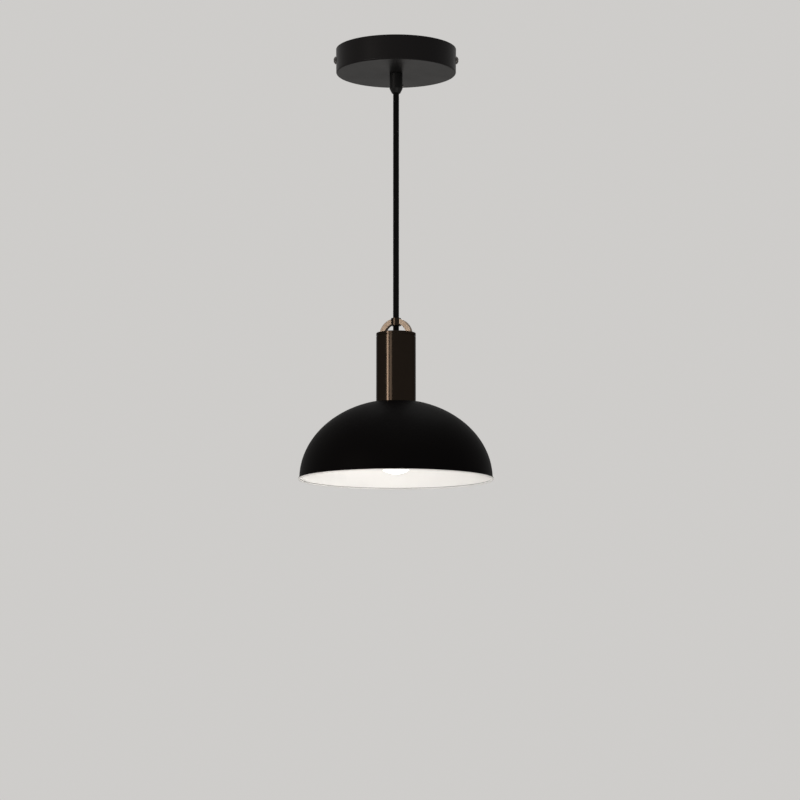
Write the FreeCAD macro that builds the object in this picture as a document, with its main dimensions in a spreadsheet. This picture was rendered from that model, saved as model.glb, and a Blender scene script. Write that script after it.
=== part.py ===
import FreeCAD, Part
import math
import os
import Sketcher

# A pendant ceiling light: a shallow round canopy under the ceiling, a black cord, a yoke on a
# capped tube that hides the lampholder, and a dome shade clamped on the lampholder by a ring.
# Origin: centre of the ceiling plane.  +Z up, +X to the right, -Y towards the front.

os.makedirs("parts", exist_ok=True)
document = FreeCAD.newDocument("pendant")
sheet = document.addObject("Spreadsheet::Sheet", "Sizes")
Vector = FreeCAD.Vector


class Dim:
    """A size known both as a number and as a formula on the sheet's cells."""

    def __init__(self, value, formula=None):
        self.value = float(value)
        self.formula = formula if formula is not None else repr(float(value))

    def _with(self, other, sign, value):
        return Dim(value, f"({self.formula} {sign} {as_dim(other).formula})")

    def __add__(self, other):
        return self._with(other, "+", self.value + as_dim(other).value)

    def __sub__(self, other):
        return self._with(other, "-", self.value - as_dim(other).value)

    def __mul__(self, other):
        return self._with(other, "*", self.value * as_dim(other).value)

    def __truediv__(self, other):
        return self._with(other, "/", self.value / as_dim(other).value)

    def __radd__(self, other):
        return as_dim(other) + self

    def __rsub__(self, other):
        return as_dim(other) - self

    def __rmul__(self, other):
        return as_dim(other) * self

    def __neg__(self):
        return Dim(-self.value, f"(0 - {self.formula})")


def as_dim(thing):
    return thing if isinstance(thing, Dim) else Dim(thing)


def root(thing):
    return Dim(math.sqrt(thing.value), f"sqrt({thing.formula})")


def cell(alias, value):
    """Put one driving size on the sheet."""
    row = len(cell.rows) + 1
    cell.rows.append(alias)
    sheet.set(f"A{row}", str(value))
    sheet.setAlias(f"A{row}", alias)
    return Dim(value, f"Sizes.{alias}")


cell.rows = []

# ---------------------------------------------------------------- driving sizes
sheet_metal = cell("sheet_metal", 1.0)
canopy_radius = cell("canopy_radius", 61.2)
canopy_height = cell("canopy_height", 25)
strap_width = cell("strap_width", 20)
strap_thickness = cell("strap_thickness", 1.5)
slot_spacing = cell("slot_spacing", 80)
slot_width = cell("slot_width", 4.6)
slot_length = cell("slot_length", 11)
side_screw_drop = cell("side_screw_drop", 11)
grip_radius = cell("grip_radius", 6.6)
grip_length = cell("grip_length", 16.4)
nose_length = cell("nose_length", 4.0)
nose_wall = cell("nose_wall", 0.25)
cord_radius = cell("cord_radius", 3.1)
cord_length = cell("cord_length", 232)
nipple_wall = cell("nipple_wall", 1.9)
yoke_outer = cell("yoke_outer", 17.1)
yoke_inner = cell("yoke_inner", 11.75)
yoke_depth = cell("yoke_depth", 5.4)
yoke_sink = cell("yoke_sink", 2.3)
yoke_turn = cell("yoke_turn", 21.5)
boss_radius = cell("boss_radius", 5.0)
boss_length = cell("boss_length", 7.8)
cap_height = cell("cap_height", 3.8)
tube_radius = cell("tube_radius", 20)
tube_length = cell("tube_length", 67.6)
shade_radius = cell("shade_radius", 96.7)
shade_rise = cell("shade_rise", 79.5)
seat_rise = cell("seat_rise", 76)
bead_radius = cell("bead_radius", 1.1)
skirt_radius = cell("skirt_radius", 18.6)
skirt_drop = cell("skirt_drop", 19.9)
shell_radius = cell("shell_radius", 13.4)
bulb_radius = cell("bulb_radius", 22.5)
bulb_length = cell("bulb_length", 78)
bulb_recess = cell("bulb_recess", 5.1)
wire_radius = cell("wire_radius", 1.05)
swing_gap = cell("swing_gap", 0.3)
turn_gap = cell("turn_gap", 0.05)

# ---------------------------------------------------------------- levels, from the ceiling down
canopy_floor = -canopy_height
grip_end = canopy_floor - grip_length
grip_mouth = grip_end - nose_length
upper_pivot = grip_mouth + 1.5
tail_end = upper_pivot + cord_radius + 0.2
yoke_top = grip_mouth - cord_length
lower_pivot = yoke_top - 0.6
lamp_tail_start = lower_pivot - cord_radius - 0.2
cap_top = yoke_top - 0.4 - yoke_outer + yoke_sink
cap_floor = cap_top - cap_height
seat_level = cap_floor - tube_length
rim_level = seat_level - seat_rise
tube_bore = tube_radius - sheet_metal
bulb_bottom = rim_level + bulb_recess
bulb_top = bulb_bottom + bulb_length
carrier_floor = bulb_top + 1.5
carrier_top = carrier_floor + 4
skirt_mouth = seat_level - skirt_drop
cover_top = carrier_top + 17.5
nipple_radius = cord_radius + nipple_wall
thread_pitch = 3.63
thread_turns = 4


# ---------------------------------------------------------------- helpers
class Piece:
    """A PartDesign body that grows one feature at a time."""

    def __init__(self, label):
        self.body = document.addObject("PartDesign::Body", label)
        self.body.Label = label

    def sketch(self, plane):
        drawing = self.body.newObject("Sketcher::SketchObject", "Sketch")
        support = next(f for f in self.body.Origin.OriginFeatures if f.Role == plane)
        drawing.AttachmentSupport = [(support, "")]
        drawing.MapMode = "FlatFace"
        return drawing

    def outline(self, plane, corners):
        """Closed line through (x, y) corners; a third value is the radius of the arc that
        leaves that corner, negative where it runs clockwise."""
        drawing = self.sketch(plane)
        corners = [tuple(as_dim(n) for n in corner) for corner in corners]
        spots = [Vector(c[0].value, c[1].value, 0) for c in corners]
        for index, corner in enumerate(corners):
            start, end = spots[index], spots[(index + 1) % len(spots)]
            if len(corner) == 2:
                drawing.addGeometry(Part.LineSegment(start, end))
            else:
                drawing.addGeometry(arc_between(start, end, corner[2].value))
        for index, corner in enumerate(corners):
            follower = (index + 1) % len(corners)
            ends = 3 - first_point(corner)
            joins = first_point(corners[follower])
            drawing.addConstraint(Sketcher.Constraint("Coincident", index, ends, follower, joins))
            fix(drawing, "DistanceX", index, first_point(corner), corner[0])
            fix(drawing, "DistanceY", index, first_point(corner), corner[1])
            if len(corner) == 3:
                size = corner[2] if corner[2].value > 0 else -corner[2]
                number = drawing.addConstraint(Sketcher.Constraint("Radius", index, size.value))
                drawing.setExpression(f"Constraints[{number}]", size.formula)
        return drawing

    def circles(self, plane, spots):
        """Circles given as (x, y, radius)."""
        drawing = self.sketch(plane)
        for index, spot in enumerate(spots):
            x, y, radius = (as_dim(n) for n in spot)
            drawing.addGeometry(Part.Circle(Vector(x.value, y.value, 0), Vector(0, 0, 1), radius.value))
            fix(drawing, "DistanceX", index, 3, x)
            fix(drawing, "DistanceY", index, 3, y)
            number = drawing.addConstraint(Sketcher.Constraint("Radius", index, radius.value))
            drawing.setExpression(f"Constraints[{number}]", radius.formula)
        return drawing

    def revolve(self, corners):
        """Turn an outline in the XZ plane round the Z axis."""
        feature = self.body.newObject("PartDesign::Revolution", "Revolution")
        feature.Profile = self.outline("XZ_Plane", corners)
        feature.ReferenceAxis = (feature.Profile[0], ["V_Axis"])
        feature.Angle = 360
        return self

    def pad(self, drawing, length, both_ways=True):
        feature = self.body.newObject("PartDesign::Pad", "Pad")
        feature.Profile = drawing
        feature.SideType = "Symmetric" if both_ways else "One side"
        feature.setExpression("Length", as_dim(length).formula)
        return self

    def pocket(self, drawing, length=None, reverse=False):
        """Cut a drawing through everything, or to a length on one side."""
        feature = self.body.newObject("PartDesign::Pocket", "Pocket")
        feature.Profile = drawing
        if length is None:
            feature.Type = "ThroughAll"
            feature.SideType = "Symmetric"
        else:
            feature.Reversed = reverse
            feature.setExpression("Length", as_dim(length).formula)
        return self

    def place(self, x, y, z, axis=None, angle=0):
        if axis is not None:
            self.body.Placement = FreeCAD.Placement(Vector(0, 0, 0), FreeCAD.Rotation(axis, angle))
        move(self.body, x, y, z)
        return self


def first_point(corner):
    """Which end of its line or arc a corner is: a clockwise arc is kept end first."""
    return 2 if len(corner) == 3 and corner[2].value < 0 else 1


def arc_between(start, end, radius):
    """Arc under half a turn from start to end; counter-clockwise if radius is positive."""
    chord = end - start
    reach = math.sqrt(max(radius * radius - chord.Length ** 2 / 4, 0))
    side = Vector(-chord.y, chord.x, 0).normalize() * math.copysign(reach, radius)
    centre = (start + end) * 0.5 + side
    first, last = (start, end) if radius > 0 else (end, start)
    circle = Part.Circle(centre, Vector(0, 0, 1), abs(radius))
    angles = [math.atan2(p.y - centre.y, p.x - centre.x) for p in (first, last)]
    if angles[1] <= angles[0]:
        angles[1] += 2 * math.pi
    return Part.ArcOfCircle(circle, *angles)


def fix(drawing, kind, index, point, size):
    """Tie one point of a drawing to its origin by a signed distance."""
    number = drawing.addConstraint(Sketcher.Constraint(kind, -1, 1, index, point, size.value))
    drawing.setExpression(f"Constraints[{number}]", size.formula)


def move(thing, x, y, z):
    for name, size in zip("xyz", (x, y, z)):
        thing.setExpression(f"Placement.Base.{name}", as_dim(size).formula)


def primitive(kind, x, y, z, axis=None, angle=0, **sizes):
    """A Part primitive with each size bound to the sheet."""
    thing = document.addObject(f"Part::{kind}", kind)
    if axis is not None:
        thing.Placement = FreeCAD.Placement(Vector(0, 0, 0), FreeCAD.Rotation(axis, angle))
    for name, size in sizes.items():
        thing.setExpression(name, as_dim(size).formula)
    move(thing, x, y, z)
    return thing


def box(x, y, z, length, width, height):
    """Box by its low corner."""
    return primitive("Box", x, y, z, Length=length, Width=width, Height=height)


def rod(x, y, z, radius, height, axis=None, angle=0):
    """Cylinder from a point, upwards unless turned."""
    return primitive("Cylinder", x, y, z, axis, angle, Radius=radius, Height=height)


def joined(kind, label, *shapes):
    """Part boolean of several shapes: MultiFuse, MultiCommon or Compound."""
    thing = document.addObject(f"Part::{kind}", label)
    thing.Label = label
    if kind == "Compound":
        thing.Links = list(shapes)
    else:
        thing.Shapes = list(shapes)
    return thing


def less(label, base, *tools):
    """The base with every tool cut away."""
    thing = document.addObject("Part::Cut", label)
    thing.Label = label
    thing.Base = base
    thing.Tool = tools[0] if len(tools) == 1 else joined("MultiFuse", label + "_tools", *tools)
    return thing


def nut(label, z, across_flats, height, bore):
    body = primitive("Prism", 0, 0, z, Circumradius=across_flats / root(as_dim(3)), Height=height)
    body.Polygon = 6
    return less(label, body, rod(0, 0, z - 1, bore, height + 2))


def slotted_screw(name, head_radius, head_height, shank_radius, shank_length, slot=0.9):
    """Dome-headed screw: the head's underside at its origin, the shank downwards."""
    head_radius, head_height = as_dim(head_radius), as_dim(head_height)
    edge = head_height * 0.25
    rise = head_height - edge
    dome = (head_radius * head_radius + rise * rise) / (2 * rise)
    screw = Piece(name).revolve([
        (0, -as_dim(shank_length)),
        (shank_radius, -as_dim(shank_length)),
        (shank_radius, 0),
        (head_radius, 0),
        (head_radius, edge, dome),
        (0, head_height),
    ])
    half = as_dim(slot) / 2
    screw.pocket(screw.outline("XZ_Plane", [
        (-half, head_height * 0.5),
        (half, head_height * 0.5),
        (half, head_height + 1),
        (-half, head_height + 1),
    ]))
    return screw


def grub_screw(name, radius, length):
    """Headless screw along its Z axis from its origin, slotted at the far end."""
    screw = Piece(name).revolve([(0, 0), (radius, 0), (radius, length), (0, length)])
    screw.pocket(screw.outline("XZ_Plane", [
        (-0.3, as_dim(length) - 0.8),
        (0.3, as_dim(length) - 0.8),
        (0.3, as_dim(length) + 1),
        (-0.3, as_dim(length) + 1),
    ]))
    return screw


def wire(label, *points):
    """Insulated conductor: straight runs joined by tangent arcs as large as the runs allow."""
    places = [Vector(*(as_dim(n).value for n in point)) for point in points]
    edges, radii, start = [], [], places[0]
    for before, here, after in zip(places, places[1:], places[2:]):
        reach = 0.45 * min(before.distanceToPoint(here), after.distanceToPoint(here))
        back, ahead = (before - here).normalize(), (after - here).normalize()
        half = back.getAngle(ahead) / 2
        inward = (back + ahead).normalize()
        radii.append(reach * math.tan(half))
        crown = here + inward * (reach / math.cos(half) - radii[-1])
        first, last = here + back * reach, here + ahead * reach
        edges += [Part.LineSegment(start, first).toShape(), Part.Arc(first, crown, last).toShape()]
        start = last
    edges.append(Part.LineSegment(start, places[-1]).toShape())
    print(label, "bend radii:", ", ".join(f"{radius:.1f}" for radius in radii))
    path = Part.Wire(edges)
    section = Part.Wire(Part.Circle(places[0], places[1] - places[0], wire_radius.value).toShape())
    thing = document.addObject("Part::Feature", label)
    thing.Label = label
    thing.Shape = path.makePipeShell([section], True, False)
    return thing


# ---------------------------------------------------------------- ceiling side
screw_radius = Dim(1.95)
tab_face = root((canopy_radius - sheet_metal) * (canopy_radius - sheet_metal)
                - strap_width * strap_width / 4) - swing_gap
tab_back = tab_face - strap_thickness


def make_bracket():
    """Strap across the canopy with a threaded tab bent down at each end."""
    piece = Piece("ceiling_bracket")
    tab_end = -(side_screw_drop + 6)
    piece.pad(piece.outline("XZ_Plane", [
        (-tab_face, 0),
        (-tab_face, tab_end),
        (-tab_back, tab_end),
        (-tab_back, -strap_thickness),
        (tab_back, -strap_thickness),
        (tab_back, tab_end),
        (tab_face, tab_end),
        (tab_face, 0),
    ]), strap_width)
    end = slot_width / 2
    straight = slot_length / 2 - end
    for side in (-1, 1):
        middle = side * slot_spacing / 2
        piece.pocket(piece.outline("XY_Plane", [
            (middle - straight, -end),
            (middle + straight, -end, end),
            (middle + straight + end, 0, end),
            (middle + straight, end),
            (middle - straight, end, end),
            (middle - straight - end, 0, end),
        ]))
    piece.pocket(piece.circles("XY_Plane", [(-26, 0, 1.7), (19 - 3.65, 0, 1.3)]))
    piece.pocket(piece.circles("YZ_Plane", [(0, -side_screw_drop, screw_radius + turn_gap)]))
    return piece.body


def make_canopy():
    """Shallow spun cup, open to the ceiling."""
    corner = Dim(1.5)
    draft = Dim(0.2)
    side = canopy_radius - draft
    piece = Piece("canopy").revolve([
        (nipple_radius + 0.1, canopy_floor),
        (side - corner, canopy_floor, corner),
        (side, canopy_floor + corner),
        (canopy_radius, 0),
        (canopy_radius - sheet_metal, 0),
        (side - sheet_metal, canopy_floor + corner, sheet_metal - corner),
        (side - corner, canopy_floor + sheet_metal),
        (nipple_radius + 0.1, canopy_floor + sheet_metal),
    ])
    piece.pocket(piece.circles("YZ_Plane", [(0, -side_screw_drop, 2.25)]))
    return piece.body


def make_canopy_screw(label, side):
    screw = slotted_screw(label, 4.0, 2.6, screw_radius, 6.0, 1.0)
    screw.place(side * canopy_radius, 0, -side_screw_drop, Vector(0, 1, 0), 90 * side)
    return screw.body


def make_grip():
    """Cord grip: threaded nipple through the canopy, round body, tapered nose, flared mouth."""
    mouth_radius = cord_radius + swing_gap + 0.65
    piece = Piece("cord_grip").revolve([
        (cord_radius, canopy_floor + 10),
        (cord_radius, tail_end),
        (cord_radius + swing_gap, tail_end),
        (cord_radius + swing_gap, upper_pivot),
        (mouth_radius, grip_mouth),
        (mouth_radius + nose_wall, grip_mouth),
        (grip_radius - 0.3, grip_end),
        (grip_radius, grip_end + 0.4),
        (grip_radius, canopy_floor - 0.4),
        (grip_radius - 0.4, canopy_floor),
        (nipple_radius, canopy_floor),
        (nipple_radius, canopy_floor + 9.5),
        (nipple_radius - 0.5, canopy_floor + 10),
    ])
    piece.pocket(piece.circles("YZ_Plane", [(0, grip_end + 3.4, 1.45)]), grip_radius + 2, True)
    return piece.body


def make_grip_screw():
    screw = grub_screw("grip_screw", 1.45, grip_radius + 1.0 - cord_radius)
    return screw.place(cord_radius, 0, grip_end + 3.4, Vector(0, 1, 0), 90).body


def make_grip_washer():
    level = canopy_floor + sheet_metal
    return less("grip_washer", rod(0, 0, level, 8, 1), rod(0, 0, level - 1, nipple_radius + 0.1, 3))


block_poles = (11.7, 19, 26.3)
block_level = Dim(-6.0)


def make_terminal_block():
    """Three-pole terminal strip under the strap."""
    height = Dim(11)
    body = box(8, -8, -strap_thickness - height, 22, 16, height)
    tools = [rod(x, -9, block_level, 2.3, 18, Vector(1, 0, 0), -90) for x in block_poles]
    for x in block_poles:
        tools += [rod(x, y, -14, 1.7, 8, None, 0) for y in (-4, 4)]
    tools.append(rod(19 - 3.65, 0, -14, 1.3, 14))
    return less("terminal_block", body, *tools)


def make_terminal_tubes():
    tubes = []
    for x in block_poles:
        outer = rod(x, -6, block_level, 2.3, 12, Vector(1, 0, 0), -90)
        tools = [rod(x, -7, block_level, 1.3, 14, Vector(1, 0, 0), -90)]
        tools += [rod(x, y, -9, 1.2, 3) for y in (-4, 4)]
        tubes.append(less("terminal_tube", outer, *tools))
    return joined("Compound", "terminal_tubes", *tubes)


def make_terminal_screws():
    screws = []
    for x in block_poles:
        for y in (-4, 4):
            head = rod(x, y, -12.0, 1.6, 3.5)
            shank = rod(x, y, -8.6, 1.2, 0.6)
            solid = joined("MultiFuse", "terminal_screw_blank", head, shank)
            screws.append(less("terminal_screw", solid, box(x - 2, y - 0.3, -13, 4, 0.6, 1.8)))
    return joined("Compound", "terminal_screws", *screws)


def make_block_screw():
    screw = slotted_screw("block_screw", 2.2, 1.2, 1.3, 12.5, 0.6)
    return screw.place(19 - 3.65, 0, -12.5, Vector(1, 0, 0), 180).body


def make_earth_screw():
    screw = slotted_screw("earth_screw", 3.4, 2.0, 1.7, 2.2, 0.9)
    return screw.place(-26, 0, -strap_thickness - 0.8, Vector(1, 0, 0), 180).body


def make_earth_washer():
    level = -strap_thickness - 0.8
    return less("earth_washer", rod(-26, 0, level, 4.2, 0.8), rod(-26, 0, level - 1, 1.7, 3))


def make_cord_tail_top():
    return labelled("cord_tail_top", rod(0, 0, tail_end, cord_radius, canopy_floor + 11 - tail_end))


def labelled(label, thing):
    thing.Label = label
    return thing


def make_wires_top():
    """Conductors from the cord's end in the canopy into the terminal strip."""
    start = canopy_floor + 11
    near, middle, far = block_poles
    return [
        wire("wire_earth_top",
             (1.25, 0.7, start),
             (1.25, 0.7, start + 4.6),
             (3.2, -5.5, block_level - 0.2),
             (6.6, -12.4, block_level),
             (near, -13.0, block_level),
             (near, -5.0, block_level)),
        wire("wire_neutral_top",
             (-0.1, -1.4, start),
             (-0.1, -1.4, start + 4.0),
             (1.2, -9.5, start + 5.4),
             (8.0, -17.2, block_level - 1.2),
             (middle - 2.5, -18.2, block_level),
             (middle, -12.6, block_level),
             (middle, -5.0, block_level)),
        wire("wire_live_top",
             (-1.6, 0.7, start),
             (-1.6, 0.7, start + 4.4),
             (-4.2, -7.5, start + 5.8),
             (0.5, -17.5, start + 5.4),
             (9.5, -22.4, block_level - 2.0),
             (19.5, -22.4, block_level - 1.0),
             (far, -15.5, block_level),
             (far, -5.0, block_level)),
    ]


# ---------------------------------------------------------------- cord
def make_cord():
    """Hanging cord: a straight tube with a rounded end in each mouth."""
    piece = Piece("cord").revolve([
        (0, lower_pivot - cord_radius, cord_radius),
        (cord_radius, lower_pivot),
        (cord_radius, upper_pivot, cord_radius),
        (0, upper_pivot + cord_radius),
    ])
    return piece.body


def check_cord(body):
    """Compare the cord's volume with its section times its length."""
    length = upper_pivot.value - lower_pivot.value
    radius = cord_radius.value
    expected = math.pi * radius ** 2 * length + 4 / 3 * math.pi * radius ** 3
    error = abs(body.Shape.Volume - expected) / expected
    if error > 0.001:
        raise RuntimeError(f"cord volume is off by {error:.4f}")


# ---------------------------------------------------------------- lamp: yoke, cap and tube
foot_outer = root(yoke_outer * yoke_outer - yoke_sink * yoke_sink)
foot_inner = root(yoke_inner * yoke_inner - yoke_sink * yoke_sink)
foot = (foot_outer + foot_inner) / 2
turn_cosine = Dim(math.cos(math.radians(yoke_turn.value)), "cos(Sizes.yoke_turn * 1deg)")
turn_sine = Dim(math.sin(math.radians(yoke_turn.value)), "sin(Sizes.yoke_turn * 1deg)")


def make_yoke():
    """Arch standing on the cap, turned to one side, with a round boss through its crown for the cord."""
    centre = cap_top - yoke_sink
    piece = Piece("yoke")
    piece.pad(piece.outline("XZ_Plane", [
        (foot_outer, cap_top, yoke_outer),
        (0, centre + yoke_outer, yoke_outer),
        (-foot_outer, cap_top),
        (-foot_inner, cap_top, -yoke_inner),
        (0, centre + yoke_inner, -yoke_inner),
        (foot_inner, cap_top),
    ]), yoke_depth)
    boss = piece.body.newObject("PartDesign::Revolution", "Boss")
    boss.Profile = piece.outline("XZ_Plane", [
        (0, yoke_top - boss_length),
        (boss_radius - 0.3, yoke_top - boss_length),
        (boss_radius, yoke_top - boss_length + 0.3),
        (boss_radius, yoke_top - 0.1),
        (boss_radius - 0.1, yoke_top),
        (0, yoke_top),
    ])
    boss.ReferenceAxis = (boss.Profile[0], ["V_Axis"])
    boss.Angle = 360
    bore = piece.body.newObject("PartDesign::Groove", "Bore")
    bore.Profile = piece.outline("XZ_Plane", [
        (0, yoke_top - boss_length - 1),
        (cord_radius, yoke_top - boss_length - 1),
        (cord_radius, lamp_tail_start),
        (cord_radius + 0.25, lamp_tail_start),
        (cord_radius + 0.25, lower_pivot),
        (cord_radius + 0.45, yoke_top),
        (cord_radius + 0.45, yoke_top + 1),
        (0, yoke_top + 1),
    ])
    bore.ReferenceAxis = (bore.Profile[0], ["V_Axis"])
    bore.Angle = 360
    holes = [(foot, 0, 1.25), (-foot, 0, 1.25)]
    drawing = piece.sketch("XY_Plane")
    drawing.setExpression("AttachmentOffset.Base.z", cap_top.formula)
    for index, (x, y, radius) in enumerate(holes):
        drawing.addGeometry(Part.Circle(Vector(x.value, y, 0), Vector(0, 0, 1), radius))
        fix(drawing, "DistanceX", index, 3, as_dim(x))
        fix(drawing, "DistanceY", index, 3, as_dim(y))
        drawing.addConstraint(Sketcher.Constraint("Radius", index, radius))
    piece.pocket(drawing, 5.5, True)
    piece.pocket(piece.circles("XZ_Plane", [(0, yoke_top - boss_length + 1.4, 1.0)]), 8)
    return piece.place(0, 0, 0, Vector(0, 0, 1), -yoke_turn.value).body


def make_yoke_screw():
    """Grub screw at the back of the boss that clamps the cord."""
    screw = grub_screw("yoke_screw", 1.0, boss_radius + 0.5 - cord_radius)
    aim = FreeCAD.Rotation(Vector(0, 0, 1), -yoke_turn.value) * FreeCAD.Rotation(Vector(1, 0, 0), -90)
    return screw.place(turn_sine * cord_radius, turn_cosine * cord_radius,
                       yoke_top - boss_length + 1.4, aim.Axis, math.degrees(aim.Angle)).body


def make_foot_screws():
    screws = []
    for side in (-1, 1):
        screw = slotted_screw("foot_screw", 2.5, 1.6, 1.25, cap_height + 5, 0.6)
        screws.append(screw.place(side * foot * turn_cosine, -side * foot * turn_sine, cap_floor,
                                  Vector(1, 0, 0), 180).body)
    return joined("Compound", "foot_screws", *screws)


def make_cap():
    """Round cap with a shadow groove under it and a spigot in the tube."""
    piece = Piece("tube_cap").revolve([
        (nipple_radius, cap_top),
        (tube_radius - 0.4, cap_top, -0.4),
        (tube_radius, cap_top - 0.4),
        (tube_radius, cap_floor + 1.0),
        (tube_radius - 0.8, cap_floor + 1.0),
        (tube_radius - 0.8, cap_floor),
        (tube_bore, cap_floor),
        (tube_bore, cap_floor - 4),
        (tube_bore - 1.5, cap_floor - 4),
        (tube_bore - 1.5, cap_floor),
        (nipple_radius, cap_floor),
    ])
    across, along = foot * turn_cosine, foot * turn_sine
    piece.pocket(piece.circles("XY_Plane", [(across, -along, 1.25), (-across, along, 1.25)]))
    return piece.body


def make_cap_gland():
    """Small round gland on the threaded tube, round the cord."""
    return Piece("cap_gland").revolve([
        (cord_radius, cap_top),
        (nipple_radius + 0.9, cap_top),
        (nipple_radius + 0.9, cap_top + 1.4),
        (nipple_radius + 0.1, cap_top + 2.2),
        (cord_radius, cap_top + 2.2),
    ]).body


def make_threaded_tube():
    return less("threaded_tube", rod(0, 0, cover_top - 10, nipple_radius, cap_top - cover_top + 10),
                rod(0, 0, cover_top - 11, nipple_radius - 1.4, cap_top - cover_top + 12))


def make_tube():
    """Plain tube that hides the lampholder."""
    return Piece("holder_tube").revolve([
        (tube_bore, cap_floor),
        (tube_bore, seat_level),
        (tube_radius - 0.5, seat_level),
        (tube_radius, seat_level + 0.5),
        (tube_radius, cap_floor - 0.15),
        (tube_radius - 0.15, cap_floor),
    ]).body


# ---------------------------------------------------------------- lamp: lampholder
def ridges(inner, outer, start, pitch, turns):
    """Corners of ring-shaped ridges, going down from start: inner, then outer, per pitch."""
    corners = []
    for turn in range(turns):
        level = start - pitch * turn
        corners += [(inner, level), (inner, level - pitch * 0.1)]
        corners += [(outer, level - pitch * 0.45), (outer, level - pitch * 0.65)]
    corners.append((inner, start - pitch * turns))
    return corners


def make_cover():
    """Domed upper half of the lampholder, with the entry for the threaded tube."""
    return Piece("holder_cover").revolve([
        (nipple_radius, cover_top),
        (8, cover_top),
        (8, cover_top - 5),
        (skirt_radius - 3.6, cover_top - 7.5, -6.0),
        (skirt_radius - 0.8, cover_top - 12.5),
        (skirt_radius - 0.8, carrier_top),
        (skirt_radius - 2.6, carrier_top),
        (skirt_radius - 2.6, cover_top - 10.5),
        (nipple_radius + 6.0, cover_top - 7),
        (nipple_radius, cover_top - 7),
    ]).body


def make_cover_nut():
    return nut("cover_nut", cover_top - 9.7, Dim(13), Dim(2.0), nipple_radius)


def make_earth_tag():
    """Ring tag between the nut and the cover, with a tongue for the earth conductor."""
    level = cover_top - 7.7
    ring = joined("MultiFuse", "earth_tag_blank", rod(0, 0, level, 6.4, 0.7),
                  box(-1.6, 5, level, 3.2, 5.4, 0.7))
    return less("earth_tag", ring, rod(0, 0, level - 1, nipple_radius, 3))


def make_carrier():
    """Insulating disc that carries the contacts."""
    piece = Piece("contact_carrier").revolve([
        (0, carrier_floor),
        (shell_radius + 0.8, carrier_floor),
        (shell_radius + 0.8, carrier_top),
        (0, carrier_top),
    ])
    piece.pocket(piece.circles("XY_Plane", [(8, 0, 1.0), (-8, 0, 1.0), (0, 8, 1.0), (0, -8, 1.0)]))
    return piece.body


def make_skirt():
    """Lower half of the lampholder, ridged outside for the shade ring."""
    bore = shell_radius + 0.8
    crest = skirt_radius
    base = skirt_radius - 0.8
    thread = ridges(base, crest, seat_level - 1.0, 2.5, 6)
    piece = Piece("holder_skirt").revolve([
        (bore, carrier_top),
        (crest, carrier_top),
        (crest, seat_level - 0.5),
    ] + thread + [
        (base, skirt_mouth + 0.5),
        (base - 0.5, skirt_mouth),
        (bore, skirt_mouth),
    ])
    return piece.body


def make_screw_shell():
    """Thin threaded shell that takes the bulb's cap."""
    start = bulb_top - 6.5
    inner = ridges(shell_radius - 1.0, shell_radius, start, thread_pitch, thread_turns)
    outer = [(x + 0.4, z) for x, z in inner]
    piece = Piece("screw_shell").revolve([
        (shell_radius + 0.8, carrier_floor),
        (shell_radius, carrier_floor),
        (shell_radius, start + 0.8),
    ] + inner + outer[::-1] + [
        (shell_radius + 0.4, start + 0.8),
        (shell_radius + 0.4, carrier_floor - 0.4),
        (shell_radius + 0.8, carrier_floor - 0.4),
    ])
    return piece.body


def make_centre_contact():
    """Sprung tongue under the carrier, bent down towards the bulb's tip."""
    piece = Piece("centre_contact")
    piece.pad(piece.outline("XZ_Plane", [
        (-7, carrier_floor),
        (-7, carrier_floor - 0.4),
        (-2.5, carrier_floor - 0.4),
        (-1.5, bulb_top + 0.15),
        (3.5, bulb_top + 0.15),
        (3.5, bulb_top + 0.55),
        (-1.2, bulb_top + 0.55),
        (-2.1, carrier_floor),
    ]), 5)
    return piece.body


def make_holder_terminals():
    blocks = []
    for side in (-1, 1):
        body = box(8 * side - 2.5, -2.5, carrier_top, 5, 5, 5)
        tools = [rod(8 * side, -3, carrier_top + 3, 1.3, 6, Vector(1, 0, 0), -90)]
        tools.append(rod(8 * side, 0, carrier_top + 4, 1.2, 2))
        blocks.append(less("holder_terminal", body, *tools))
    return joined("Compound", "holder_terminals", *blocks)


def make_holder_terminal_screws():
    screws = [slotted_screw("holder_terminal_screw", 1.9, 1.2, 1.2, 1.0, 0.5).place(
        8 * side, 0, carrier_top + 5).body for side in (-1, 1)]
    return joined("Compound", "holder_terminal_screws", *screws)


def make_cord_tail_lamp():
    """Cord from the yoke's boss through the cap and the threaded tube to the lampholder."""
    end = cover_top - 10.5
    return labelled("cord_tail_lamp", rod(0, 0, end, cord_radius, lamp_tail_start - end))


def make_wires_lamp():
    """Conductors from the cord's end in the lampholder to its terminals and its earth tag."""
    start = cover_top - 10.5
    level = carrier_top + 3
    wires = []
    for name, side in (("live", 1), ("neutral", -1)):
        wires.append(wire(f"wire_{name}_lamp",
                          (1.25 * side, -1.1, start),
                          (1.25 * side, -1.1, start - 3.2),
                          (4.4 * side, -6.9, level),
                          (8 * side, -7.0, level),
                          (8 * side, -1.5, level)))
    wires.append(wire("wire_earth_lamp",
                      (0, 1.35, start),
                      (0, 1.35, start - 3.4),
                      (0, 9.0, start - 3.6),
                      (0, 9.0, cover_top - 7.7)))
    return wires


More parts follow.
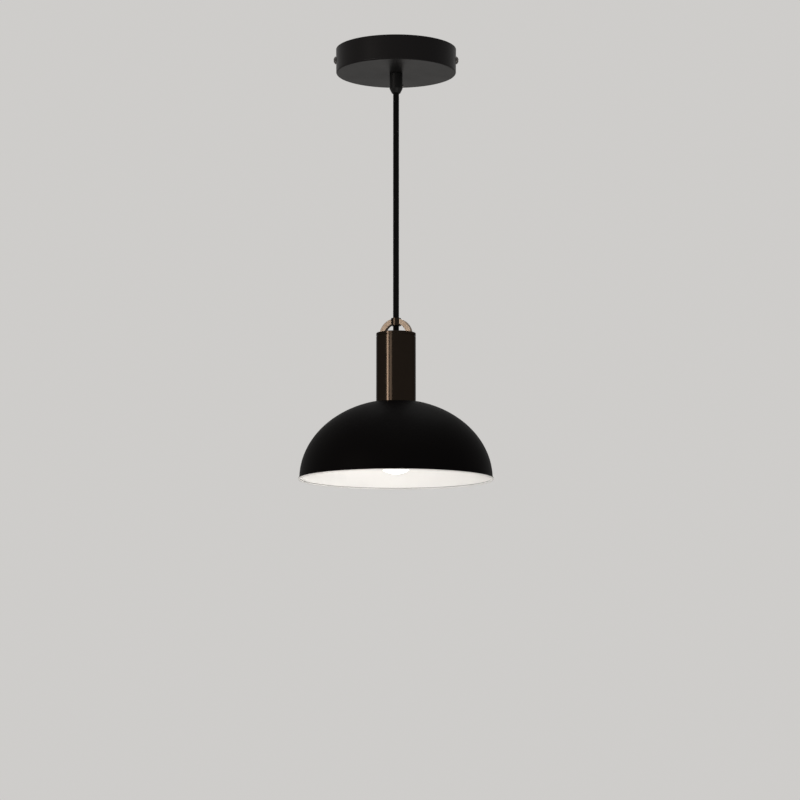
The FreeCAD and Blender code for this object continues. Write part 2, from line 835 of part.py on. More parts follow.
# ---------------------------------------------------------------- shade and its ring
def ellipse_arc(drawing, across, rise, low, high):
    """Arc of an upright ellipse round the rim's centre, between two levels."""
    ellipse = Part.Ellipse(Vector(0, rim_level.value, 0), across.value, rise.value)
    angles = [math.asin((level.value - rim_level.value) / rise.value) for level in (low, high)]
    index = drawing.addGeometry(Part.ArcOfEllipse(ellipse, *angles))
    drawing.exposeInternalGeometry(index)
    fix(drawing, "DistanceX", index, 3, Dim(0))
    fix(drawing, "DistanceY", index, 3, rim_level)
    fix(drawing, "DistanceX", index + 1, 1, across)
    fix(drawing, "DistanceY", index + 1, 1, rim_level)
    fix(drawing, "DistanceY", index + 2, 1, rim_level + rise)
    fix(drawing, "DistanceY", index, 1, low)
    fix(drawing, "DistanceY", index, 2, high)
    return index


def make_shade():
    """Half-ellipsoid dome, open below, with a flat seat under the tube and a rolled rim."""
    hole = skirt_radius + 0.4
    bead = bead_radius
    across = shade_radius - sheet_metal
    rise = shade_rise - sheet_metal
    under = seat_level - sheet_metal
    lip = bead * 0.44
    piece = Piece("shade")
    drawing = piece.sketch("XZ_Plane")
    outer = ellipse_arc(drawing, shade_radius, shade_rise, rim_level + bead, seat_level)
    inner = ellipse_arc(drawing, across, rise, rim_level + lip, under)

    def ellipse_x(radius, height, level):
        part = (level - rim_level) / height
        return radius * root(1 - part * part)

    centre = ellipse_x(shade_radius, shade_rise, rim_level + bead)
    outer_top = (ellipse_x(shade_radius, shade_rise, seat_level), seat_level)
    inner_top = (ellipse_x(across, rise, under), under)
    inner_end = (ellipse_x(across, rise, rim_level + lip), rim_level + lip)
    spots = [outer_top, (hole, seat_level), (hole, under), inner_top]
    places = [Vector(as_dim(x).value, as_dim(y).value, 0) for x, y in spots]
    seat = [drawing.addGeometry(Part.LineSegment(places[i], places[i + 1])) for i in range(3)]
    rolled = [(centre, rim_level + bead), (centre + bead, rim_level), (centre, rim_level - bead), inner_end]
    places = [Vector(x.value, y.value, 0) for x, y in rolled]
    rim = [drawing.addGeometry(arc_between(places[i], places[i + 1], -bead.value)) for i in range(3)]

    pairs = [(outer, 2, seat[0], 1), (seat[0], 2, seat[1], 1), (seat[1], 2, seat[2], 1), (seat[2], 2, inner, 2)]
    pairs += [(outer, 1, rim[0], 2), (rim[0], 1, rim[1], 2), (rim[1], 1, rim[2], 2), (rim[2], 1, inner, 1)]
    for pair in pairs:
        drawing.addConstraint(Sketcher.Constraint("Coincident", *pair))
    fix(drawing, "DistanceX", seat[1], 1, hole)
    fix(drawing, "DistanceX", seat[1], 2, hole)
    fix(drawing, "DistanceY", seat[1], 1, seat_level)
    fix(drawing, "DistanceY", seat[1], 2, under)
    for arc, spot in zip(rim[1:], rolled[1:3]):
        fix(drawing, "DistanceX", arc, 2, spot[0])
        fix(drawing, "DistanceY", arc, 2, spot[1])
    for arc in rim:
        number = drawing.addConstraint(Sketcher.Constraint("Radius", arc, bead.value))
        drawing.setExpression(f"Constraints[{number}]", bead.formula)
    feature = piece.body.newObject("PartDesign::Revolution", "Revolution")
    feature.Profile = drawing
    feature.ReferenceAxis = (drawing, ["V_Axis"])
    feature.Angle = 360
    return piece.body


def make_ring():
    """Threaded ring inside the dome that clamps the shade to the tube, with grip notches."""
    top = seat_level - sheet_metal
    base = skirt_radius - 0.8
    bore = skirt_radius + 0.15
    crest = base + 0.15
    pitch = 2.5
    corners = [(bore, top), (24.5, top), (24.5, top - 2.2), (bore + 2.2, top - 2.2)]
    corners += [(bore + 2.2, top - 9.4), (bore + 1.8, top - 9.8), (bore, top - 9.8)]
    for turn in (3, 2, 1):
        middle = seat_level - 1.125 - pitch * turn
        corners += [(bore, middle - 1.0), (crest, middle - 0.14)]
        corners += [(crest, middle + 0.14), (bore, middle + 1.0)]
    piece = Piece("shade_ring").revolve(corners)
    notches = [(24.9 * math.cos(math.radians(a)), 24.9 * math.sin(math.radians(a)), 1.3)
               for a in range(0, 360, 30)]
    drawing = piece.circles("XY_Plane", notches)
    piece.pocket(drawing)
    return piece.body


# ---------------------------------------------------------------- bulb
cap_root = shell_radius - 1.3
neck_radius = Dim(12.5)
collar_level = skirt_mouth - 0.6


def make_globe():
    """Round glass bulb, open at its neck."""
    centre = bulb_bottom + bulb_radius
    wall = Dim(1.0)
    neck = Dim(14.5)
    inner_radius = bulb_radius - wall
    rise = root(bulb_radius * bulb_radius - neck * neck)
    inner_neck = neck - wall
    inner_rise = root(inner_radius * inner_radius - inner_neck * inner_neck)
    piece = Piece("bulb_globe").revolve([
        (0, centre - bulb_radius, bulb_radius),
        (bulb_radius, centre, bulb_radius),
        (neck, centre + rise),
        (inner_neck, centre + inner_rise, -inner_radius),
        (inner_radius, centre, -inner_radius),
        (0, centre - inner_radius),
    ])
    return piece.body


def make_collar():
    """Plastic collar between the glass and the metal cap."""
    centre = bulb_bottom + bulb_radius
    neck = Dim(14.5)
    rise = root(bulb_radius * bulb_radius - neck * neck)
    inner_radius = bulb_radius - 1.0
    inner_rise = root(inner_radius * inner_radius - (neck - 1.0) * (neck - 1.0))
    piece = Piece("bulb_collar").revolve([
        (0, centre + inner_rise),
        (neck - 1.0, centre + inner_rise),
        (neck, centre + rise),
        (neck + 0.3, centre + rise + 1.2),
        (neck - 0.2, collar_level),
        (cap_root - 0.2, collar_level),
        (cap_root - 0.2, collar_level + 1.5),
        (cap_root - 0.6, collar_level + 1.5),
        (cap_root - 0.6, collar_level + 6),
        (0, collar_level + 6),
    ])
    return piece.body


def make_bulb_cap():
    """Threaded metal cap of the bulb."""
    start = bulb_top - 6.5
    outer = ridges(cap_root, shell_radius - 0.3, start, thread_pitch, thread_turns)
    piece = Piece("bulb_cap").revolve([
        (cap_root - 0.6, collar_level + 1.5),
        (cap_root - 0.6, bulb_top - 4.6),
        (9.0, bulb_top - 4.6),
        (9.0, bulb_top - 4.1),
        (cap_root - 0.6, bulb_top - 4.1),
        (cap_root, bulb_top - 4.9),
    ] + outer + [
        (cap_root, collar_level + 1.5),
    ])
    return piece.body


def make_insulator():
    return Piece("bulb_insulator").revolve([
        (0, bulb_top - 5.0),
        (9.0, bulb_top - 5.0),
        (9.0, bulb_top - 4.1),
        (5.0, bulb_top - 1.2),
        (0, bulb_top - 1.2),
    ]).body


def make_tip():
    """Centre contact of the bulb: a low dome."""
    radius = Dim(4.6)
    rise = Dim(1.2)
    dome = (radius * radius + rise * rise) / (2 * rise)
    return Piece("bulb_tip").revolve([
        (0, bulb_top - 1.2),
        (radius, bulb_top - 1.2, dome),
        (0, bulb_top),
    ]).body


# ---------------------------------------------------------------- assembly
def build():
    things = [
        make_bracket(), make_canopy(),
        make_canopy_screw("canopy_screw_left", -1), make_canopy_screw("canopy_screw_right", 1),
        make_grip(), make_grip_screw(), make_grip_washer(),
        nut("grip_nut", canopy_floor + sheet_metal + 1, Dim(14), Dim(3.2), nipple_radius),
        make_terminal_block(), make_terminal_tubes(), make_terminal_screws(), make_block_screw(),
        make_earth_screw(), make_earth_washer(), make_cord_tail_top(),
        make_yoke(), make_yoke_screw(), make_foot_screws(), make_cap(), make_cap_gland(),
        make_threaded_tube(),
        nut("cap_nut", cap_floor - 3.2, Dim(14), Dim(3.2), nipple_radius),
        make_tube(), make_cover(), make_cover_nut(), make_earth_tag(), make_carrier(),
        make_skirt(), make_screw_shell(), make_centre_contact(), make_holder_terminals(),
        make_holder_terminal_screws(), make_cord_tail_lamp(),
        make_shade(), make_ring(),
        make_globe(), make_collar(), make_bulb_cap(), make_insulator(), make_tip(),
    ]
    things += make_wires_top() + make_wires_lamp()
    cord = make_cord()
    things.append(cord)
    document.recompute()
    check_cord(cord)
    return things


def write(thing):
    """Check one sub-part and write it as STEP."""
    shape = thing.Shape
    bad = [word for word in thing.State if word in ("Invalid", "Error")]
    if bad or shape.isNull() or not shape.isValid() or not shape.Solids:
        raise RuntimeError(f"{thing.Label} is not sound: {thing.State}")
    shape.exportStep(f"parts/{thing.Label}.step")


for part in build():
    write(part)
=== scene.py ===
"""Pendant ceiling light: visible pieces, finishes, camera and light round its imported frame."""

from __future__ import annotations

import logging
import math
from collections.abc import Callable, Sequence
from dataclasses import dataclass, field
from enum import Enum

import bmesh
import bpy
from bmesh.types import BMesh, BMVert
from bpy.types import ID, Material, Mesh, Node, NodeSocket, NodeTree, Object
from mathutils import Matrix, Vector

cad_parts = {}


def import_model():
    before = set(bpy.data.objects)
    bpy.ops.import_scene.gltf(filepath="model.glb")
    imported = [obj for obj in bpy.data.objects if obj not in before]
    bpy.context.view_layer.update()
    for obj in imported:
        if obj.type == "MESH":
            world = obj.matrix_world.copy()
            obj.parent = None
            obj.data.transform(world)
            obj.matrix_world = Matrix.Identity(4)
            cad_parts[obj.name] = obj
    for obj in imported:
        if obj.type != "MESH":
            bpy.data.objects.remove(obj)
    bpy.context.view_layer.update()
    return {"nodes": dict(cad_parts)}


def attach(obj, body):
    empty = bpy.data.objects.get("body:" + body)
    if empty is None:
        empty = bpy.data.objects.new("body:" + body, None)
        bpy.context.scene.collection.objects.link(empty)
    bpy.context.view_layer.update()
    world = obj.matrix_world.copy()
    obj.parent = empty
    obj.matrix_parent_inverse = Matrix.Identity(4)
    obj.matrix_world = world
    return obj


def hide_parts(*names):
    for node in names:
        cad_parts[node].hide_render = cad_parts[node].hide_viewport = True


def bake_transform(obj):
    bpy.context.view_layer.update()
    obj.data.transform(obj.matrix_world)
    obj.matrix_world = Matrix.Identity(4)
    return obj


log = logging.getLogger("pendant")
MM = 0.001
MERGE = 0.01 * MM
ON_AXIS = 1e-7
Colour = tuple[float, float, float]
Outline = list[tuple[float, float]]


class Body(Enum):
    """The bodies that pieces ride on."""

    CEILING = "ceiling"
    CORD = "hanging_cord"
    LAMP = "lamp"
    BULB = "bulb"


class Level:
    """Heights on the pendant's axis, in metres, measured down from the ceiling."""

    CANOPY_FLOOR = -25.0 * MM
    GRIP_END = -41.4 * MM
    GRIP_MOUTH = -45.4 * MM
    SWING_PIVOT = GRIP_MOUTH + 1.5 * MM
    YOKE_TOP = -277.4 * MM
    CAP_TOP = -292.6 * MM
    CAP_FLOOR = -296.4 * MM
    SEAT = -364.0 * MM
    COLLAR = -384.5 * MM
    BULB_BOTTOM = -434.9 * MM
    RIM = -440.0 * MM


# -------- shader maths
class Signal:
    """A value that varies over a surface, for use in Python expressions."""

    def __init__(self, shader: Shader, socket: NodeSocket) -> None:
        """Keeps the shader that the socket belongs to."""
        self.shader = shader
        self.socket = socket

    def _maths(self, operation: str, first: Signal | float, second: Signal | float) -> Signal:
        """Adds one Math node.

        Args:
            operation: The node's operation.
            first: Its first value.
            second: Its second value.

        Returns:
            The node's result.
        """
        node = self.shader.node("ShaderNodeMath", {0: first, 1: second}, operation=operation)
        return Signal(self.shader, node.outputs[0])

    def __add__(self, other: Signal | float) -> Signal:
        """This plus other."""
        return self._maths("ADD", self, other)

    def __radd__(self, other: float) -> Signal:
        """Other plus this."""
        return self._maths("ADD", other, self)

    def __sub__(self, other: Signal | float) -> Signal:
        """This minus other."""
        return self._maths("SUBTRACT", self, other)

    def __rsub__(self, other: float) -> Signal:
        """Other minus this."""
        return self._maths("SUBTRACT", other, self)

    def __mul__(self, other: Signal | float) -> Signal:
        """This times other."""
        return self._maths("MULTIPLY", self, other)

    def __rmul__(self, other: float) -> Signal:
        """Other times this."""
        return self._maths("MULTIPLY", other, self)

    def __pow__(self, other: Signal | float) -> Signal:
        """This to the power of other."""
        return self._maths("POWER", self, other)

    def __rpow__(self, other: float) -> Signal:
        """Other to the power of this."""
        return self._maths("POWER", other, self)

    def clamped(self, low: float, high: float) -> Signal:
        """This, kept between two numbers."""
        return self._maths("MINIMUM", self._maths("MAXIMUM", self, low), high)

    def sine(self) -> Signal:
        """The sine of this."""
        return self._maths("SINE", self, 0.0)


class NodeSheet:
    """A node tree under construction."""

    def __init__(self, tree: NodeTree) -> None:
        """Keeps the tree and empties it."""
        self.tree = tree
        self.tree.nodes.clear()

    def node(self, kind: str, inputs: dict[str | int, object] | None = None, **settings: object) -> Node:
        """Adds a node.

        Args:
            kind: The node's type.
            inputs: What each of its sockets takes, by name or number.
            **settings: Its settings, set first.

        Returns:
            The new node.
        """
        item = self.tree.nodes.new(kind)
        for name, value in settings.items():
            setattr(item, name, value)
        for name, value in (inputs or {}).items():
            for single in value if isinstance(value, list) else [value]:
                self.plug(item.inputs[name], single)
        return item

    def plug(self, socket: NodeSocket, value: object) -> None:
        """Links a socket, or sets its own value.

        Args:
            socket: The socket to fill.
            value: A signal, a socket or a node, whose first output is linked, or a plain value.
        """
        if isinstance(value, Signal):
            value = value.socket
        elif isinstance(value, Node):
            value = next(output for output in value.outputs if output.enabled)
        if isinstance(value, NodeSocket):
            self.tree.links.new(value, socket)
        elif isinstance(value, tuple) and len(value) == 3 and socket.type == "RGBA":
            socket.default_value = (*value, 1.0)
        else:
            socket.default_value = value


class Shader(NodeSheet):
    """A Principled material under construction."""

    def __init__(self, name: str) -> None:
        """Starts a material with an empty Principled surface.

        Args:
            name: The material's name.
        """
        self.material = bpy.data.materials.new(name)
        self.material.use_nodes = True
        super().__init__(self.material.node_tree)
        output = self.node("ShaderNodeOutputMaterial")
        self.surface = self.node("ShaderNodeBsdfPrincipled")
        self.plug(output.inputs["Surface"], self.surface)

    def place(self, scale: tuple[float, float, float] = (1.0, 1.0, 1.0)) -> Signal:
        """Object coordinates in metres.

        Args:
            scale: How far they are stretched along each axis.

        Returns:
            The coordinates.
        """
        spot = self.node("ShaderNodeTexCoord")
        mapping = self.node(
            "ShaderNodeMapping", {"Vector": Signal(self, spot.outputs["Object"]), "Scale": scale}
        )
        return Signal(self, mapping.outputs["Vector"])

    def axis(self, name: str) -> Signal:
        """One of the object coordinates X, Y and Z, in metres."""
        split = self.node("ShaderNodeSeparateXYZ", {"Vector": self.place()})
        return Signal(self, split.outputs[name])

    def noise(self, size: float, detail: float = 2.0, at: Signal | None = None) -> Signal:
        """Noise from 0 to 1.

        Args:
            size: How far apart its features are, in metres.
            detail: How much finer noise it holds.
            at: Where it is read; object coordinates if left out.

        Returns:
            The noise.
        """
        node = self.node(
            "ShaderNodeTexNoise",
            {"Vector": at or self.place(), "Scale": 1.0 / size, "Detail": detail, "Roughness": 0.55},
        )
        return Signal(self, node.outputs["Fac"])

    def mixed(self, factor: Signal | float, first: object, second: object) -> Signal:
        """A colour between two colours."""
        node = self.node("ShaderNodeMix", {0: factor, 6: first, 7: second}, data_type="RGBA")
        return Signal(self, node.outputs[2])

    def relief(self, height: Signal, depth: float, strength: float = 1.0) -> Signal:
        """A normal that follows a height of 0 to 1, depth metres deep."""
        node = self.node("ShaderNodeBump", {"Height": height, "Distance": depth, "Strength": strength})
        return Signal(self, node.outputs["Normal"])

    def dress(self, **sockets: object) -> Material:
        """Fills the surface's sockets.

        Args:
            **sockets: Values or signals by socket name, with _ for a space.

        Returns:
            The finished material.
        """
        for name, value in sockets.items():
            self.plug(self.surface.inputs[name.replace("_", " ")], value)
        return self.material


def scaled(colour: Colour, by: float) -> Colour:
    """A colour, lighter or darker."""
    return tuple(min(1.0, part * by) for part in colour)


# -------- finishes
@dataclass(frozen=True)
class Paint:
    """Sprayed and baked paint: fine orange peel, and a gloss that wanders a little."""

    name: str
    colour: Colour
    roughness: float = 0.36
    peel: float = 0.9 * MM
    depth: float = 0.008 * MM
    shine: float = 0.35
    cloud_size: float = 38.0 * MM
    speck_size: float = 0.35 * MM
    shades: tuple[float, float] = (0.97, 1.04)

    def material(self) -> Material:
        """Builds the paint.

        Returns:
            The finished material.
        """
        shader = Shader(self.name)
        cloud = shader.noise(self.cloud_size, 3.0)
        speck = shader.noise(self.speck_size, 1.0)
        peel = shader.noise(self.peel, 1.5)
        colour = shader.mixed(cloud, *(scaled(self.colour, shade) for shade in self.shades))
        rough = self.roughness + (cloud - 0.5) * 0.12 + (speck - 0.5) * 0.06
        return shader.dress(
            Base_Color=colour,
            Roughness=rough.clamped(0.08, 0.95),
            Normal=shader.relief(peel, self.depth),
            Specular_IOR_Level=self.shine,
        )


@dataclass(frozen=True)
class TurnedMetal:
    """Metal with the fine rings that a lathe or a polishing wheel leaves."""

    name: str
    colour: Colour
    roughness: float = 0.28
    along: tuple[float, float, float] = (30.0, 30.0, 4500.0)
    depth: float = 0.004 * MM
    edge: Colour = (1.0, 1.0, 1.0)
    cloud_size: float = 9.0 * MM
    stain_shade: float = 0.82

    def material(self) -> Material:
        """Builds the metal.

        Returns:
            The finished material.
        """
        shader = Shader(self.name)
        grain = shader.noise(1.0, 2.0, shader.place(self.along))
        cloud = shader.noise(self.cloud_size, 3.0)
        stain = ((cloud - 0.45) * 2.2).clamped(0.0, 1.0)
        colour = shader.mixed(grain * 0.5 + stain * 0.5, scaled(self.colour, self.stain_shade), self.colour)
        rough = self.roughness + (grain - 0.5) * 0.14 + (cloud - 0.5) * 0.12
        return shader.dress(
            Base_Color=colour,
            Roughness=rough.clamped(0.08, 0.9),
            Metallic=1.0,
            Specular_Tint=self.edge,
            Normal=shader.relief(grain, self.depth),
        )


@dataclass(frozen=True)
class Moulded:
    """Moulded plastic or ceramic with a fine spark-eroded grain."""

    name: str
    colour: Colour
    roughness: float = 0.45
    grain: float = 0.25 * MM
    depth: float = 0.006 * MM
    shine: float = 0.4
    cloud_size: float = 6.0 * MM
    shades: tuple[float, float] = (0.88, 1.1)

    def material(self) -> Material:
        """Builds the plastic.

        Returns:
            The finished material.
        """
        shader = Shader(self.name)
        grain = shader.noise(self.grain, 2.0)
        cloud = shader.noise(self.cloud_size, 2.0)
        colour = shader.mixed(cloud, *(scaled(self.colour, shade) for shade in self.shades))
        rough = self.roughness + (grain - 0.5) * 0.15
        return shader.dress(
            Base_Color=colour,
            Roughness=rough.clamped(0.1, 0.95),
            Normal=shader.relief(grain, self.depth),
            Specular_IOR_Level=self.shine,
        )


@dataclass(frozen=True)
class Yarn:
    """Textile yarn: dull, slightly hairy, each filament a little different."""

    name: str
    colour: Colour
    roughness: float = 0.82
    fibre_size: float = 0.12 * MM
    patch_size: float = 1.6 * MM
    depth: float = 0.03 * MM
    shades: tuple[float, float] = (0.55, 1.7)

    def material(self) -> Material:
        """Builds the yarn.

        Returns:
            The finished material.
        """
        shader = Shader(self.name)
        fibre = shader.noise(self.fibre_size, 2.0)
        patch = shader.noise(self.patch_size, 2.0)
        blend = fibre * 0.6 + patch * 0.4
        colour = shader.mixed(blend, *(scaled(self.colour, shade) for shade in self.shades))
        rough = self.roughness + (fibre - 0.5) * 0.2
        return shader.dress(
            Base_Color=colour,
            Roughness=rough.clamped(0.5, 1.0),
            Normal=shader.relief(fibre, self.depth, 0.6),
            Specular_IOR_Level=0.06,
            Sheen_Weight=0.02,
            Sheen_Roughness=0.4,
        )


@dataclass(frozen=True)
class Insulation:
    """Conductor insulation in one colour, or with a second one in stripes."""

    name: str
    colour: Colour
    stripe: Colour | None = None
    roughness: float = 0.42
    cloud_size: float = 2.5 * MM
    grain_size: float = 0.2 * MM
    depth: float = 0.004 * MM
    stripes_per_metre: tuple[float, float] = (1.9 / MM, 2.6 / MM)

    def material(self) -> Material:
        """Builds the insulation.

        Returns:
            The finished material.
        """
        shader = Shader(self.name)
        cloud = shader.noise(self.cloud_size, 2.0)
        grain = shader.noise(self.grain_size, 1.0)
        colour = shader.mixed(cloud, scaled(self.colour, 0.85), self.colour)
        if self.stripe:
            across, down = self.stripes_per_metre
            wave = (shader.axis("X") * across + shader.axis("Z") * down).sine()
            colour = shader.mixed(((wave - 0.2) * 14.0).clamped(0.0, 1.0), colour, self.stripe)
        rough = self.roughness + (grain - 0.5) * 0.12
        return shader.dress(
            Base_Color=colour, Roughness=rough.clamped(0.2, 0.8), Normal=shader.relief(grain, self.depth)
        )


@dataclass(frozen=True)
class OpalGlow:
    """Lit opal glass, brightest where it faces the room and warmer towards its neck."""

    name: str
    glow: Colour
    neck_glow: Colour
    strength: float
    bottom: float
    height: float
    roughness: float = 0.28
    glass: tuple[Colour, Colour] = ((0.86, 0.85, 0.82), (0.93, 0.92, 0.9))
    cloud_size: float = 5.0 * MM

    def material(self) -> Material:
        """Builds the glass.

        Returns:
            The finished material.
        """
        shader = Shader(self.name)
        climb = ((shader.axis("Z") - self.bottom) * (1.0 / self.height)).clamped(0.0, 1.0)
        cloud = shader.noise(self.cloud_size, 2.0)
        tint = shader.mixed(climb ** 1.6 + (cloud - 0.5) * 0.06, self.glow, self.neck_glow)
        rough = self.roughness + (cloud - 0.5) * 0.08
        return shader.dress(
            Base_Color=shader.mixed(cloud, *self.glass),
            Roughness=rough,
            Emission_Color=tint,
            Emission_Strength=self.strength,
            Coat_Weight=0.3,
            Coat_Roughness=0.1,
        )


class Finish(Enum):
    """Every finish on the light."""

    # Black paint, lightened as painted light: the canopy's copy of the shade's black stands in for bounce
    # light on its underside.
    CANOPY_BLACK_AND_PAINTED_LIGHT = Paint("canopy_black", (0.0078, 0.0072, 0.0074), 0.38, shine=0.05)
    # Black paint, darkened further as painted shade: the shade's copy stands in for its unlit outside.
    SHADE_BLACK_AND_PAINTED_SHADE = Paint("shade_black", (0.0024, 0.0021, 0.0021), 0.5, shine=0.012)
    SHADE_WHITE = Paint("shade_white", (0.88, 0.875, 0.865), 0.5, peel=1.1 * MM, shine=0.4)
    # Painted shade: the tube, the cap and the yoke's boss take a far darker copy of the yoke's brass, as a
    # painted dark reflection of the room.
    TUBE_BRASS_PAINTED_SHADE = TurnedMetal("tube_bronze", (0.021, 0.0155, 0.0115), 0.15, along=(8.0, 8.0, 2500.0),
                              depth=0.0003 * MM, edge=(0.5, 0.5, 0.5))
    YOKE_BRASS = TurnedMetal("yoke_brass", (0.24, 0.187, 0.144), 0.5, along=(260.0, 900.0, 60.0))
    CONTACT_BRASS = TurnedMetal("contact_brass", (0.76, 0.57, 0.29), 0.3)
    ZINC = TurnedMetal("zinc_plate", (0.6, 0.6, 0.61), 0.34, along=(900.0, 260.0, 260.0))
    SCREW_BLACK = TurnedMetal("screw_black", (0.09, 0.085, 0.08), 0.3)
    BULB_ALLOY = TurnedMetal("bulb_alloy", (0.8, 0.79, 0.77), 0.26)
    GRIP_BLACK = Moulded("grip_black", (0.005, 0.005, 0.005), 0.42, shine=0.1)
    HOLDER_BLACK = Moulded("holder_black", (0.02, 0.019, 0.018), 0.3, grain=0.5 * MM)
    TERMINAL_WHITE = Moulded("terminal_white", (0.74, 0.73, 0.69), 0.4)
    COLLAR_WHITE = Moulded("collar_white", (0.84, 0.83, 0.8), 0.4)
    BULB_BLACK_GLASS = Moulded("bulb_black_glass", (0.016, 0.015, 0.02), 0.12, depth=0.002 * MM)
    CORD_YARN = Yarn("cord_yarn", (0.0025, 0.0023, 0.0023))
    WIRE_BROWN = Insulation("wire_brown", (0.17, 0.065, 0.025))
    WIRE_BLUE = Insulation("wire_blue", (0.03, 0.1, 0.36))
    WIRE_EARTH = Insulation("wire_earth", (0.72, 0.6, 0.04), (0.05, 0.27, 0.05))
    OPAL = OpalGlow("opal_glow", (1.0, 0.99, 0.97), (1.0, 0.965, 0.915), 5.25,
                    Level.BULB_BOTTOM, 40 * MM)

    def material(self) -> Material:
        """This finish's material, built the first time that it is asked for."""
        return bpy.data.materials.get(self.value.name) or self.value.material()


# -------- meshes
LONGEST_EASE = 0.42
FLAT_BESIDE = 1.15


def eased(corners: Sequence[tuple[float, ...]], closed: bool, radius: float, steps: int = 5) -> Outline:
    """Rounds the corners of an outline and adds a point on the flat beside each rounding.

    Args:
        corners: (radius, height) pairs in metres; a third number is that corner's own rounding.
        closed: Whether the last corner joins the first.
        radius: The rounding of the other corners.
        steps: Points in each rounding.

    Returns:
        The rounded outline.
    """
    points: Outline = []
    count = len(corners)
    for index, corner in enumerate(corners):
        here = Vector(corner[:2])
        if not closed and index in (0, count - 1):
            points.append(tuple(here))
            continue
        before = Vector(corners[index - 1][:2]) - here
        after = Vector(corners[(index + 1) % count][:2]) - here
        reach = corner[2] if len(corner) > 2 else radius
        reach = min(reach, before.length * LONGEST_EASE, after.length * LONGEST_EASE)
        start, end = here + before.normalized() * reach, here + after.normalized() * reach
        points.append(tuple(here + before.normalized() * reach * FLAT_BESIDE))
        for step in range(steps + 1):
            part = step / steps
            spot = start.lerp(here, part).lerp(here.lerp(end, part), part)
            points.append(tuple(spot))
        points.append(tuple(here + after.normalized() * reach * FLAT_BESIDE))
    return points


def spun(outline: Outline, closed: bool = True, segments: int = 144) -> Mesh:
    """Turns an outline round the Z axis.

    Args:
        outline: (radius, height) points in metres; a point on the axis becomes a pole.
        closed: Whether the last point joins the first.
        segments: Faces round the axis.

    Returns:
        A smooth closed mesh with its faces outwards.
    """
    build = bmesh.new()
    columns: list[list[BMVert]] = []
    poles = {i: build.verts.new((0, 0, z)) for i, (r, z) in enumerate(outline) if r < ON_AXIS}
    for turn in range(segments):
        angle = math.tau * turn / segments
        across, along = math.cos(angle), math.sin(angle)
        columns.append([
            poles[i] if i in poles else build.verts.new((r * across, r * along, z))
            for i, (r, z) in enumerate(outline)
        ])
    last = len(outline) if closed else len(outline) - 1
    for turn in range(segments):
        left, right = columns[turn], columns[(turn + 1) % segments]
        for i in range(last):
            j = (i + 1) % len(outline)
            ring = [left[i], left[j], right[j], right[i]]
            face = [vert for k, vert in enumerate(ring) if vert not in ring[:k]]
            if len(face) > 2:
                build.faces.new(face)
    bmesh.ops.recalc_face_normals(build, faces=build.faces)
    return meshed(build)


def placed(name: str, data: ID) -> Object:
    """Puts data into the scene as a new object.

    Args:
        name: The object's name.
        data: Its mesh, curve, light or camera.

    Returns:
        The object.
    """
    thing = bpy.data.objects.new(name, data)
    bpy.context.scene.collection.objects.link(thing)
    return thing


def evaluated(carrier: Object) -> Mesh:
    """Turns an object's curve or modifiers into a plain mesh.

    Args:
        carrier: The object, which is removed.

    Returns:
        The mesh.
    """
    graph = bpy.context.evaluated_depsgraph_get()
    mesh = bpy.data.meshes.new_from_object(carrier.evaluated_get(graph))
    carrier.modifiers.clear()
    bpy.data.objects.remove(carrier)
    return mesh


def meshed(build: BMesh) -> Mesh:
    """Turns a bmesh into a smooth mesh.

    Args:
        build: The bmesh, which is freed.

    Returns:
        The mesh.
    """
    mesh = bpy.data.meshes.new("mesh")
    for face in build.faces:
        face.smooth = True
    build.to_mesh(mesh)
    build.free()
    return mesh


def piece(
    name: str,
    mesh: Mesh,
    body: Body | None,
    finishes: Sequence[Finish],
    stands_for: Sequence[str] = (),
    prepare: Callable[[Object], None] | None = None,
) -> Object:
    """Makes one visible piece of the light.

    Args:
        name: The piece's name.
        mesh: Its mesh, in place.
        body: The body that it rides on, or None for a piece that rides on no body.
        finishes: Its finishes, in the order of its material slots.
        stands_for: The CAD nodes that it replaces.
        prepare: Adds modifiers before it rides.

    Returns:
        The new object.
    """
    thing = placed(name, mesh)
    mesh.name = name
    mesh.materials.clear()
    for finish in finishes:
        mesh.materials.append(finish.material())
    if prepare:
        prepare(thing)
    if body:
        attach(thing, body.value)
    if stands_for:
        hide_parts(*stands_for)
    log.info("%s: %d faces on %s", name, len(mesh.polygons), body.value if body else "two bodies")
    return thing


